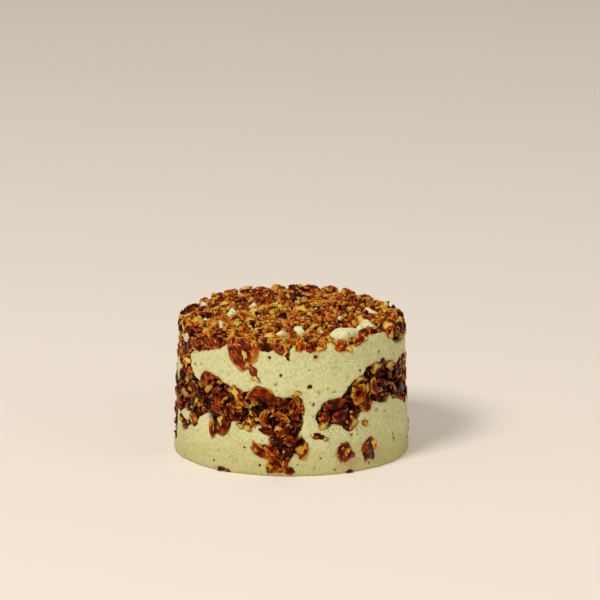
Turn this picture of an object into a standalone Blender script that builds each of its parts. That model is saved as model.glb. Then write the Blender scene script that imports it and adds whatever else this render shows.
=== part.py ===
"""Walnut halva: a round block of pale halva, turned out of a tapered mould.

A layer of chopped walnuts runs through the middle and shows all round the side, with tails
that reach down from it. More chopped walnuts cover the top and hang over its edge, and the
halva bulges up between them in a few places. Single walnut pieces sit in the side.

Units are metres, +Z is up, and the origin is the centre of the base. An angle of 0 degrees
faces the front, which is -Y, and grows towards the right, which is +X.
"""

import math
import random

import bmesh
import bpy
from mathutils import Euler, Matrix, Vector

MM = 0.001
SEED = 7

# The block
BASE_RADIUS = 87.5 * MM
TOP_RADIUS = 83.0 * MM
BLOCK_HEIGHT = 97.5 * MM
TOP_SLOPE = 0.03  # the top rises towards the back by this share
TOP_DOME = 2.5 * MM  # and its middle stands this far above its rim
EDGE_ROUNDING = 2.0 * MM
STEPS = 60  # sides of the block and of the layers' rooms
PEBBLE_SIDES = 8  # sides of a rounded lump
CORE_STEPS = 30  # sides of the top's core, which lies behind the walnuts

# Gaps between neighbours
CLEARANCE = 0.35 * MM
STEEP_CLEARANCE = 0.6 * MM  # measured upwards, where a wavy face can be steep
PAST = 6.0 * MM  # how far a cutter runs out of the block

# The layers
LAYER_HUB_RADIUS = 60.0 * MM
LAYER_HUB = (38.0 * MM, 58.0 * MM)  # flat underside and top of its middle
BED_HUB_RADIUS = 52.0 * MM
BED_HUB_HEIGHT = 90.5 * MM
CORE_DEPTH = 3.0 * MM  # the layers' cores lie this far behind the side
CORE_GAP = 1.6 * MM  # and this far under and over the halva
CORE_SUNK = 1.0 * MM  # the top's core lies this far under the top
BRIDGE_DEPTH = 15.0 * MM
BRIDGE_MARGIN = 1.0  # degrees beside a bridge that take no middle of a walnut piece

# Where the walnut layer shows: (angle in degrees, height in mm), once round the block
LAYER_TOP = (
    (-180, 62), (-168, 68), (-155, 71), (-140, 64), (-125, 58), (-112, 64), (-100, 70), (-90, 67),
    (-80, 68), (-72, 75), (-65, 70), (-57, 66), (-51, 63), (-45, 72), (-40, 69), (-30, 63),
    (-23, 60), (-17, 66), (-13, 65), (-6, 58), (1, 61), (5, 57), (7.5, 50), (12.5, 50), (14, 54),
    (22, 55), (27, 59), (31, 68), (38, 72), (43, 77), (50, 78), (60, 75), (66, 74), (75, 70),
    (88, 66), (100, 60), (112, 64), (125, 70), (137, 66), (150, 58), (165, 58),
)  # fmt: skip
LAYER_BOTTOM = (
    (-180, 34), (-165, 38), (-150, 30), (-135, 24), (-120, 30), (-105, 36), (-92, 28), (-84, 17),
    (-76, 12), (-71, 21), (-62, 22), (-54, 27), (-50, 34), (-45, 38), (-42, 27), (-38, 25),
    (-34, 27), (-30, 36), (-24, 36), (-18, 34), (-13, 31), (-8, 27), (2, 28), (5, 34), (7.5, 38),
    (12.5, 37), (15, 34), (25, 35), (29, 31), (34, 39), (42, 44), (50, 48), (60, 48), (66, 44),
    (74, 39), (84, 34), (96, 30), (108, 36), (120, 42), (132, 38), (146, 30), (160, 30), (172, 32),
)  # fmt: skip
# Lower edge of the walnuts that cover the top, where they come down the side
TOP_EDGE = (
    (-180, 90), (-165, 87), (-150, 91), (-135, 88), (-120, 84), (-105, 88), (-92, 90), (-84, 86),
    (-77, 84), (-70, 81), (-60, 81), (-50, 84), (-43, 85), (-38, 89), (-32, 91), (-17, 91),
    (-8, 92), (0, 91), (4, 93), (10, 91), (16, 89), (20, 93), (28, 88), (34, 91), (42, 93),
    (50, 94), (57, 91), (64, 86), (72, 84), (80, 84), (92, 88), (104, 91), (118, 89), (130, 86),
    (145, 89), (160, 91), (170, 90),
)  # fmt: skip
# Where the halva reaches through the layer at the side: (middle, half the width) in degrees
BRIDGES = ((9.0, 2.0), (141.0, 7.0), (-123.0, 7.0))
# Tails of the layer: (angle in degrees; height, half the width and half the height in mm)
TAILS = ((-13, 23, 11, 11), (-5.5, 18, 9.5, 18), (3.5, 25, 8, 11), (163, 24, 12, 12), (-101, 30, 10, 11))
TAIL_DEPTH = 8.0 * MM
TAIL_SUNK = 4.0 * MM  # a tail's middle lies this far behind the side
# Bare halva between the walnuts on top: (x, y, half the width, half the depth) in mm
BARE_SPOTS = (
    (37, -49, 14, 9), (54, -24, 6, 12), (-45, 4, 5, 10), (-22, 50, 8, 7), (4, -44, 4, 10), (55, 12, 7, 6),
)  # fmt: skip
SPOT_DEPTH = 7.0 * MM  # half the height of the bump under a bare spot
SPOT_RISE = 1.5 * MM  # its top stands this far above the walnuts' core

# Single pieces: (name, angle, height, half width, half height, half depth, lean), degrees and mm
NUGGETS = (
    ("walnut_quarter", -25.5, 87.0, 7.5, 11.0, 5.0, -14),
    ("walnut_sliver", -18.0, 73.0, 2.6, 5.6, 3.0, -12),
    ("walnut_rim_piece", -4.5, 91.0, 6.0, 6.5, 4.5, 10),
    ("walnut_lump_right", 26.5, 16.5, 6.6, 6.2, 5.0, 0),
    ("walnut_lump_far_right", 40.5, 15.0, 6.0, 9.2, 5.0, 12),
    ("walnut_base_left", -34.0, 0.5, 6.4, 4.0, 4.0, 0),
    ("walnut_base_right", 29.5, 0.5, 4.4, 3.0, 3.5, 0),
    ("walnut_lump_side", 96.0, 15.0, 8.0, 6.0, 5.0, -30),
    ("walnut_lump_back", 178.0, 78.0, 7.0, 6.0, 5.0, 20),
    ("walnut_lump_back_left", -146.0, 13.0, 7.5, 6.5, 5.0, 35),
)
NUGGET_PROUD = 1.6 * MM  # how far single pieces stand out of the side
TOP_PIECES_FROM = 80  # mm; single pieces above this height lie among the walnuts on top
LOBE_DEPTH = 0.13  # of a nugget's three lobes, as a share of its size

# Chopped pieces fused to the layers
SIDE_PITCH = (15.5 * MM, 11.0 * MM)  # along the side and upwards
SIDE_CHUNK_SUNK = 2.6 * MM  # their middles lie this far behind the side
OUTLINE_MARGIN = 1.0 * MM  # and this far inside the layer's edges
TAIL_SPREAD = 0.42  # a tail's pieces lie this far from its middle, as a share of its size
TAIL_PIECES = 3
EDGE_ROOM = 6.0 * MM  # the least drop from the rim to the top's lower edge that takes a piece
EDGE_SHARE = 0.4  # how far up that drop the piece sits
CHUNK_TIP = 0.3  # how far a piece tips out of its bed, in radians
TOP_PITCH = 15.5 * MM
TOP_MARGIN = 4.0 * MM  # the outermost ring on the top lies this far inside the rim
TOP_SHOULDER = 1.2 * MM  # and its pieces this much lower than the others
RING_TURN = 137.5  # degrees that each ring is turned from the next
SPOT_MARGIN = 3.0  # mm of a bare spot's surroundings that take no middle of a piece
JITTER = 0.14  # how far a piece strays from its even place, as a share of the pitch
HEIGHT_JITTER = 0.8 * MM
CHUNK_HALF = ((4.4 * MM, 6.4 * MM), (3.4 * MM, 4.6 * MM), (3.4 * MM, 4.4 * MM))
CHUNK_CORNER = (0.62, 0.98)  # how far out a piece's corners lie, of its box's corners

HALVA_COLOUR = (0.62, 0.62, 0.32, 1.0)
WALNUT_COLOUR = (0.30, 0.075, 0.012, 1.0)
KERNEL_COLOUR = (0.42, 0.15, 0.02, 1.0)


def clear_scene():
    """Removes every object of the scene that Blender starts with."""
    for obj in list(bpy.data.objects):
        bpy.data.objects.remove(obj, do_unlink=True)


def new_collection(name):
    """A collection linked to the scene."""
    collection = bpy.data.collections.new(name)
    bpy.context.scene.collection.children.link(collection)
    return collection


def new_material(name, colour, roughness):
    """A non-metal Principled material."""
    material = bpy.data.materials.new(name)
    material.use_nodes = True
    shader = material.node_tree.nodes["Principled BSDF"]
    shader.inputs["Base Color"].default_value = colour
    shader.inputs["Roughness"].default_value = roughness
    shader.inputs["Metallic"].default_value = 0.0
    material.diffuse_color = colour
    return material


def new_object(name, bm, collection):
    """An object that takes over the bmesh."""
    mesh = bpy.data.meshes.new(name)
    bm.to_mesh(mesh)
    bm.free()
    obj = bpy.data.objects.new(name, mesh)
    collection.objects.link(obj)
    return obj


def apply_modifiers(obj):
    """Applies every modifier of the object."""
    bpy.context.view_layer.objects.active = obj
    for modifier in list(obj.modifiers):
        bpy.ops.object.modifier_apply(modifier=modifier.name)


def combine(obj, operation, other, solver="MANIFOLD"):
    """Applies a Boolean with one object, or with a collection whose objects are then removed."""
    modifier = obj.modifiers.new(operation, "BOOLEAN")
    modifier.operation = operation
    modifier.solver = solver
    if isinstance(other, bpy.types.Collection):
        modifier.operand_type = "COLLECTION"
        modifier.collection = other
        used = list(other.objects)
    else:
        modifier.object = other
        used = [other]
    apply_modifiers(obj)
    for helper in used:
        bpy.data.objects.remove(helper, do_unlink=True)
    return obj


def keep_largest_shell(obj):
    """Drops loose scraps, and fills the hollows that fusing sealed."""
    bm = bmesh.new()
    bm.from_mesh(obj.data)
    unseen = set(bm.verts)
    shells = []
    while unseen:
        shell = []
        front = [unseen.pop()]
        while front:
            vert = front.pop()
            shell.append(vert)
            for edge in vert.link_edges:
                other = edge.other_vert(vert)
                if other in unseen:
                    unseen.remove(other)
                    front.append(other)
        shells.append(shell)
    shells.sort(key=len)
    for shell in shells[:-1]:
        bmesh.ops.delete(bm, geom=shell, context="VERTS")
    bm.to_mesh(obj.data)
    bm.free()


def polar(radius, angle, height):
    """The point at a radius, an angle in degrees from the front, and a height."""
    turn = math.radians(angle)
    return Vector((radius * math.sin(turn), -radius * math.cos(turn), height))


def angle_of(point):
    """The angle of a point in degrees from the front, from -180 to 180."""
    return math.degrees(math.atan2(point.x, -point.y))


def side_radius(height):
    """The block's radius at a height."""
    return BASE_RADIUS + (TOP_RADIUS - BASE_RADIUS) * height / BLOCK_HEIGHT


def top_height(point):
    """The height of the block's sloping, slightly domed top over a point."""
    inwards = 1 - (point.xy.length / TOP_RADIUS) ** 2
    return BLOCK_HEIGHT + TOP_SLOPE * point.y + TOP_DOME * inwards


def bed_height(point):
    """The height of the top of the walnuts' core over a point."""
    return top_height(point) - CORE_SUNK


def above_all(point):
    """A height clear above the whole block, over any point."""
    return BLOCK_HEIGHT + 3 * PAST


def outline_at(knots, angle):
    """The height of an outline at an angle, eased from knot to knot."""
    angle = (angle + 180) % 360 - 180
    first_angle, first_height = knots[0]
    closed = knots + ((first_angle + 360, first_height),)
    for (start, low), (end, high) in zip(closed, closed[1:]):
        if start <= angle <= end:
            share = (angle - start) / (end - start)
            return (low + (high - low) * share * share * (3 - 2 * share)) * MM
    raise ValueError(f"no stretch of the outline holds {angle} degrees")


def turned_by(angle, other):
    """How far apart two angles are, in degrees."""
    return abs((angle - other + 180) % 360 - 180)


def in_bridge(angle, margin=0.0):
    """Whether the halva crosses the layer at this angle."""
    return any(turned_by(angle, middle) < half + margin for middle, half in BRIDGES)


def make_block(collection):
    """The whole tapered block, turned from its profile, with its top still flat."""
    top = BLOCK_HEIGHT + PAST
    profile = [Vector((0, 0, top)), Vector((side_radius(top), 0, top))]
    centre = Vector((BASE_RADIUS - EDGE_ROUNDING, 0, EDGE_ROUNDING))
    for turn in (0, 30, 60, 90):
        down = math.radians(turn)
        profile.append(centre + EDGE_ROUNDING * Vector((math.cos(down), 0, -math.sin(down))))
    profile.append(Vector((0, 0, 0)))
    bm = bmesh.new()
    verts = [bm.verts.new(point) for point in profile]
    for start, end in zip(verts, verts[1:]):
        bm.edges.new((start, end))
    block = new_object("halva_block", bm, collection)
    screw = block.modifiers.new("turn", "SCREW")
    screw.steps = screw.render_steps = STEPS
    screw.use_merge_vertices = True
    screw.merge_threshold = 0.01 * MM
    apply_modifiers(block)
    return block


def make_wavy_disc(name, collection, steps, hub_radius, rim, floor, roof):
    """A disc with a flat hub and a wavy rim, its corners midway between the block's.

    rim gives the radius at an angle; floor and roof give the heights at the hub and at the
    block's side there.
    """
    bm = bmesh.new()
    bmesh.ops.create_cone(bm, cap_ends=True, segments=steps, radius1=1.0, radius2=1.0, depth=2.0)
    caps = [face for face in bm.faces if len(face.verts) == steps]
    bmesh.ops.inset_individual(bm, faces=caps, thickness=0.5)
    for vert in bm.verts:
        angle = angle_of(vert.co) + 180 / STEPS
        on_rim = vert.co.xy.length > 0.75
        hub_height, side_height = (roof if vert.co.z > 0 else floor)(angle)
        if on_rim:
            radius = rim(angle)
            reach = (radius - hub_radius) / (side_radius(side_height) - hub_radius)
            vert.co = polar(radius, angle, hub_height + (side_height - hub_height) * reach)
        else:
            vert.co = polar(hub_radius, angle, hub_height)
    bmesh.ops.triangulate(bm, faces=bm.faces, quad_method="FIXED")
    return new_object(name, bm, collection)


def make_layer_disc(name, collection, outset, gap):
    """The walnut layer's disc, its rim outset from the block's side, thinner by the gap all round."""
    low_hub, high_hub = LAYER_HUB

    def rim(angle):
        if in_bridge(angle):
            return BASE_RADIUS - BRIDGE_DEPTH - 2 * gap
        return side_radius(outline_at(LAYER_BOTTOM, angle)) + outset

    return make_wavy_disc(
        name,
        collection,
        STEPS,
        LAYER_HUB_RADIUS,
        rim,
        lambda angle: (low_hub + gap, outline_at(LAYER_BOTTOM, angle) + gap),
        lambda angle: (high_hub - gap, outline_at(LAYER_TOP, angle) - gap),
    )


def make_top_disc(name, collection, outset, gap, roof_height, steps=STEPS):
    """The disc over the halva's bed: its underside follows the bed and the top's lower edge."""

    def rim(angle):
        return side_radius(outline_at(TOP_EDGE, angle)) + outset

    def roof(angle):
        hub = roof_height(polar(BED_HUB_RADIUS, angle, 0))
        return hub, roof_height(polar(side_radius(hub), angle, 0))

    def floor(angle):
        sloping = TOP_SLOPE * polar(BED_HUB_RADIUS, angle, 0).y
        return BED_HUB_HEIGHT + sloping + gap, outline_at(TOP_EDGE, angle) + gap

    return make_wavy_disc(name, collection, steps, BED_HUB_RADIUS, rim, floor, roof)


def put(bm, place, turn, half_sizes):
    """Stretches a unit shape to its half sizes, turns it and puts it in place."""
    stretch = Matrix.Diagonal((*half_sizes, 1.0))
    bm.transform(Matrix.Translation(place) @ turn.to_4x4() @ stretch)


def make_pebble(name, collection, place, turn, half_sizes):
    """A rounded lump with the given half sizes."""
    bm = bmesh.new()
    bmesh.ops.create_uvsphere(bm, u_segments=PEBBLE_SIDES, v_segments=PEBBLE_SIDES // 2, radius=1.0)
    put(bm, place, turn, half_sizes)
    return new_object(name, bm, collection)


def make_chunk(name, collection, place, turn, rng):
    """A chopped walnut piece: a block whose corners are each pulled in or out by chance."""
    length, width, thickness = (rng.uniform(*half) for half in CHUNK_HALF)
    bm = bmesh.new()
    bmesh.ops.create_cube(bm, size=2.0)
    for vert in bm.verts:
        vert.co *= rng.uniform(*CHUNK_CORNER)
    put(bm, place, turn, (length, thickness, width))
    return new_object(name, bm, collection)


def facing_side(angle, lean=0.0):
    """Turns a lump so that its X runs along the side, its Y inwards and its Z up, then leans it."""
    return (Euler((0, 0, math.radians(angle))).to_matrix()
            @ Euler((0, math.radians(lean), 0)).to_matrix())


def add_tails(name, collection, grow):
    """The rounded tails under the layer, grown or shrunk all round."""
    for number, (angle, height, wide, tall) in enumerate(TAILS):
        place = polar(side_radius(height * MM) - TAIL_SUNK, angle, height * MM)
        sizes = (wide * MM + grow, TAIL_DEPTH + grow, tall * MM + grow)
        make_pebble(f"{name}_{number}", collection, place, facing_side(angle), sizes)


def add_bare_spots(name, collection, grow):
    """The rounded tops of halva that come up between the walnuts."""
    for number, (x, y, wide, deep) in enumerate(BARE_SPOTS):
        place = Vector((x * MM, y * MM, 0))
        place.z = top_height(place) + SPOT_RISE - SPOT_DEPTH
        sizes = (wide * MM + grow, deep * MM + grow, SPOT_DEPTH + grow)
        make_pebble(f"{name}_{number}", collection, place, Matrix.Identity(3), sizes)


def near_bare_spot(place):
    """Whether the halva is bare at a place on the top, or just beside it."""
    for x, y, wide, deep in BARE_SPOTS:
        across = (place.x / MM - x) / (wide + SPOT_MARGIN)
        along = (place.y / MM - y) / (deep + SPOT_MARGIN)
        if math.hypot(across, along) < 1:
            return True
    return False


def make_nugget(spec, collection, grow=0.0):
    """A single walnut piece that sits in the side, lobed like a kernel, and cut level at the base."""
    name, angle, height, wide, tall, deep, lean = spec
    height *= MM
    place = polar(side_radius(height) + NUGGET_PROUD - deep * MM, angle, height)
    bm = bmesh.new()
    bmesh.ops.create_uvsphere(bm, u_segments=PEBBLE_SIDES, v_segments=PEBBLE_SIDES // 2, radius=1.0)
    for vert in bm.verts:
        across = vert.co.x ** 2 + vert.co.z ** 2
        vert.co *= 1.0 - LOBE_DEPTH * across * math.cos(3.0 * math.atan2(vert.co.z, vert.co.x) + angle)
    bmesh.ops.triangulate(bm, faces=bm.faces, quad_method="FIXED")
    put(bm, place, facing_side(angle, lean), [size * MM + grow for size in (wide, deep, tall)])
    if not grow and min(vert.co.z for vert in bm.verts) < CLEARANCE:
        cut = bmesh.ops.bisect_plane(
            bm, geom=bm.verts[:] + bm.edges[:] + bm.faces[:],
            plane_co=(0, 0, CLEARANCE), plane_no=(0, 0, 1), clear_inner=True,
        )  # fmt: skip
        rim = [part for part in cut["geom_cut"] if isinstance(part, bmesh.types.BMEdge)]
        bmesh.ops.edgeloop_fill(bm, edges=rim)
    return new_object(name, bm, collection)


def side_places(low, high, rng):
    """Places for chopped pieces on the side, in uneven rows between two outlines."""
    along, upwards = SIDE_PITCH
    columns = round(2 * math.pi * BASE_RADIUS / along)
    rows = math.ceil(BLOCK_HEIGHT / upwards)
    for row in range(rows):
        for column in range(columns):
            angle = 360 * (column + 0.5 * (row % 2) + rng.uniform(-JITTER, JITTER)) / columns - 180
            height = (row + 0.5 + rng.uniform(-JITTER, JITTER)) * upwards
            if low(angle) + OUTLINE_MARGIN < height < high(angle) - OUTLINE_MARGIN:
                yield angle, height


def top_places(rng):
    """Places for chopped pieces over the top, on rings about a pitch apart."""
    outermost = TOP_RADIUS - TOP_MARGIN
    rings = round(outermost / TOP_PITCH)
    for ring in range(rings + 1):
        radius = ring * outermost / rings
        count = max(1, round(2 * math.pi * radius / TOP_PITCH))
        for step in range(count):
            angle = 360 * (step + rng.uniform(-JITTER, JITTER)) / count + RING_TURN * ring
            yield polar(radius + rng.uniform(-JITTER, JITTER) * TOP_PITCH / 2, angle, 0)


def add_side_chunk(name, collection, angle, height, rng):
    """A chopped piece lying flat in the side, turned its own way."""
    place = polar(side_radius(height) - SIDE_CHUNK_SUNK, angle, height)
    tip = Euler((rng.uniform(-CHUNK_TIP, CHUNK_TIP), 0, 0)).to_matrix()
    make_chunk(name, collection, place, facing_side(angle, rng.uniform(0, 180)) @ tip, rng)


def add_side_chunks(name, collection, low, high, rng):
    """Chopped pieces all over a part of the side between two outlines."""
    for number, (angle, height) in enumerate(side_places(low, high, rng)):
        add_side_chunk(f"{name}_{number}", collection, angle, height, rng)


def add_edge_chunks(collection, rng):
    """Chopped pieces down the side from the top's rim, where its lower edge leaves room."""
    count = round(2 * math.pi * TOP_RADIUS / SIDE_PITCH[0])
    for number in range(count):
        angle = 360 * (number + rng.uniform(-JITTER, JITTER)) / count
        low = outline_at(TOP_EDGE, angle)
        room = top_height(polar(TOP_RADIUS, angle, 0)) - low
        if room > EDGE_ROOM:
            add_side_chunk(f"edge_chunk_{number}", collection, angle, low + EDGE_SHARE * room, rng)


def add_top_chunks(collection, rng):
    """Chopped pieces on the top, clear of the bare spots."""
    for number, place in enumerate(top_places(rng)):
        if near_bare_spot(place):
            continue
        shoulder = TOP_SHOULDER if place.length > TOP_RADIUS - 2 * TOP_MARGIN else 0.0
        place.z = top_height(place) - shoulder + rng.uniform(-HEIGHT_JITTER, HEIGHT_JITTER)
        lying = math.pi / 2 + rng.uniform(-CHUNK_TIP, CHUNK_TIP)
        turn = Euler((lying, rng.uniform(-CHUNK_TIP, CHUNK_TIP), rng.uniform(0, math.pi)))
        make_chunk(f"top_chunk_{number}", collection, place, turn.to_matrix(), rng)


def make_halva(parts, helpers):
    """The pale block, with room for the layers, their tails and the single pieces."""
    block = make_block(parts)
    block.name = "halva_block"
    over = make_top_disc("over", helpers, PAST, 0.0, above_all)
    combine(block, "DIFFERENCE", over)
    spots = new_collection("spots")
    add_bare_spots("spot", spots, 0.0)
    combine(block, "UNION", spots)
    cutters = new_collection("cutters")
    make_layer_disc("layer_room", cutters, PAST, 0.0)
    add_tails("tail_room", cutters, 0.0)
    combine(block, "DIFFERENCE", cutters)
    rooms = new_collection("rooms")
    for spec in NUGGETS:
        make_nugget(spec, rooms, CLEARANCE)
    combine(block, "DIFFERENCE", rooms)
    keep_largest_shell(block)
    return block


def make_walnut_layer(parts, helpers, rng):
    """The layer through the middle: a core with chopped pieces fused round its rim."""
    layer = make_layer_disc("walnut_layer", parts, -CORE_DEPTH, CORE_GAP)
    chunks = new_collection("layer_chunks")
    add_tails("tail_core", chunks, -CORE_GAP)

    def low(angle):
        return outline_at(LAYER_BOTTOM, angle)

    def high(angle):
        return low(angle) if in_bridge(angle, BRIDGE_MARGIN) else outline_at(LAYER_TOP, angle)

    add_side_chunks("layer_chunk", chunks, low, high, rng)
    for number, (angle, height, wide, tall) in enumerate(TAILS):
        for part in range(TAIL_PIECES):
            turn = 2 * math.pi * part / TAIL_PIECES + number
            aside = math.degrees(TAIL_SPREAD * wide * MM / BASE_RADIUS) * math.cos(turn)
            up = (height + TAIL_SPREAD * tall * math.sin(turn)) * MM
            add_side_chunk(f"tail_chunk_{number}_{part}", chunks, angle + aside, up, rng)
    combine(layer, "UNION", chunks)
    limit = make_layer_disc("layer_limit", helpers, PAST, STEEP_CLEARANCE)
    tails = new_collection("tail_limits")
    add_tails("tail_limit", tails, -CLEARANCE)
    combine(limit, "UNION", tails)
    combine(layer, "INTERSECT", limit)
    keep_largest_shell(layer)
    return layer


def make_walnut_top(parts, helpers, rng):
    """The walnuts over the top: a core on the halva's bed with chopped pieces fused on."""
    top = make_top_disc("walnut_top", parts, -CORE_DEPTH, CORE_GAP, bed_height, CORE_STEPS)
    chunks = new_collection("top_chunks")
    add_edge_chunks(chunks, rng)
    add_top_chunks(chunks, rng)
    combine(top, "UNION", chunks)
    limit = make_top_disc("top_limit", helpers, PAST, STEEP_CLEARANCE, above_all)
    combine(top, "INTERSECT", limit)
    rooms = new_collection("top_rooms")
    add_bare_spots("spot_room", rooms, CLEARANCE)
    for spec in NUGGETS:
        if spec[2] > TOP_PIECES_FROM:
            make_nugget(spec, rooms, CLEARANCE)
    combine(top, "DIFFERENCE", rooms)
    keep_largest_shell(top)
    return top


def main():
    """Builds the halva, its walnut layers and the single pieces."""
    rng = random.Random(SEED)
    clear_scene()
    parts = new_collection("walnut_halva")
    helpers = new_collection("helpers")
    halva = make_halva(parts, helpers)
    halva.data.materials.append(new_material("halva", HALVA_COLOUR, 0.75))
    walnut = new_material("walnut", WALNUT_COLOUR, 0.35)
    for layer in (make_walnut_layer(parts, helpers, rng), make_walnut_top(parts, helpers, rng)):
        layer.data.materials.append(walnut)
    kernel = new_material("kernel", KERNEL_COLOUR, 0.35)
    for spec in NUGGETS:
        make_nugget(spec, parts).data.materials.append(kernel)


main()
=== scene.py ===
"""Walnut halva: a round block of pale halva with a layer of caramelised walnuts.

The walnuts run through the middle of the block and show all round its side, and more of them
cover its top and hang over the rim. Units are metres, +Z is up and -Y is the front. An angle of
0 degrees faces the front and grows towards the right, which is +X.
"""

import logging
import math
import random
from contextlib import contextmanager
from dataclasses import dataclass, field, replace
from enum import Enum
from typing import Any, Callable, Iterator, Sequence

import bpy
import numpy as np
from mathutils import Euler, Matrix, Vector, noise


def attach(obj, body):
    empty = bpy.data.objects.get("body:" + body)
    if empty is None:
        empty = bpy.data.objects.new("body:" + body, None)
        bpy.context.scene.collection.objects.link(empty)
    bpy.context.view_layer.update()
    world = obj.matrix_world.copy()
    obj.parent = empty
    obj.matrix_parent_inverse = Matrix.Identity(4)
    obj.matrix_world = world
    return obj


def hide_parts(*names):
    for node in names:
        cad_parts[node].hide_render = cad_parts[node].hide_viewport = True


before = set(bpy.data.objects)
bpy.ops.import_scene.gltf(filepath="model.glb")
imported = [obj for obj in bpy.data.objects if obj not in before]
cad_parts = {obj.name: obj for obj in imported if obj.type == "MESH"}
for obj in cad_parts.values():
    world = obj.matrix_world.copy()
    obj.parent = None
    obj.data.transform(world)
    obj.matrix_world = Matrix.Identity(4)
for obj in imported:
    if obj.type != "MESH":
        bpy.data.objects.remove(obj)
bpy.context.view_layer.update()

LOG = logging.getLogger("walnut_halva")
MM = 0.001
Colour = tuple[float, float, float]
Knots = tuple[tuple[float, float], ...]
Layers = tuple[tuple[float, float], ...]


# ---- Shader maths ----

# A Mix node's sockets for colours by their places, because its other sockets share their names
MIX_FIRST, MIX_SECOND, MIX_RESULT = 6, 7, 2


class Value:
    """A number that varies over a surface, so that shader maths reads as sums."""

    def __init__(self, paint: "Paint", socket: bpy.types.NodeSocket) -> None:
        """Wraps a socket.

        Args:
            paint: The paint whose tree holds the socket.
            socket: The output socket that carries the number.
        """
        self.paint = paint
        self.socket = socket

    def _maths(self, operation: str, first: Any, second: Any = 0.0, clamp: bool = False) -> "Value":
        """Adds one Math node.

        Args:
            operation: The node's operation.
            first: Its first input, a Value or a number.
            second: Its second input, a Value or a number.
            clamp: Whether the result is kept between 0 and 1.

        Returns:
            The node's result.
        """
        settings = {"operation": operation, "use_clamp": clamp}
        node = self.paint.node("ShaderNodeMath", settings, {0: first, 1: second})
        return Value(self.paint, node.outputs[0])

    def __add__(self, other: Any) -> "Value":
        """This plus the other."""
        return self._maths("ADD", self, other)

    __radd__ = __add__

    def __mul__(self, other: Any) -> "Value":
        """This times the other."""
        return self._maths("MULTIPLY", self, other)

    __rmul__ = __mul__

    def __sub__(self, other: Any) -> "Value":
        """This less the other."""
        return self._maths("SUBTRACT", self, other)

    def __rsub__(self, other: Any) -> "Value":
        """The other less this."""
        return self._maths("SUBTRACT", other, self)

    def clamped(self) -> "Value":
        """This, kept between 0 and 1."""
        return self._maths("ADD", self, 0.0, clamp=True)

    def between(self, low: float, high: float) -> "Value":
        """How far this is on its way from low to high, from 0 to 1, eased at both ends.

        Args:
            low: The number that gives 0.
            high: The number that gives 1.

        Returns:
            The eased share.
        """
        node = self.paint.node(
            "ShaderNodeMapRange",
            {"interpolation_type": "SMOOTHSTEP"},
            {"Value": self, "From Min": low, "From Max": high},
        )
        return Value(self.paint, node.outputs["Result"])


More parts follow.
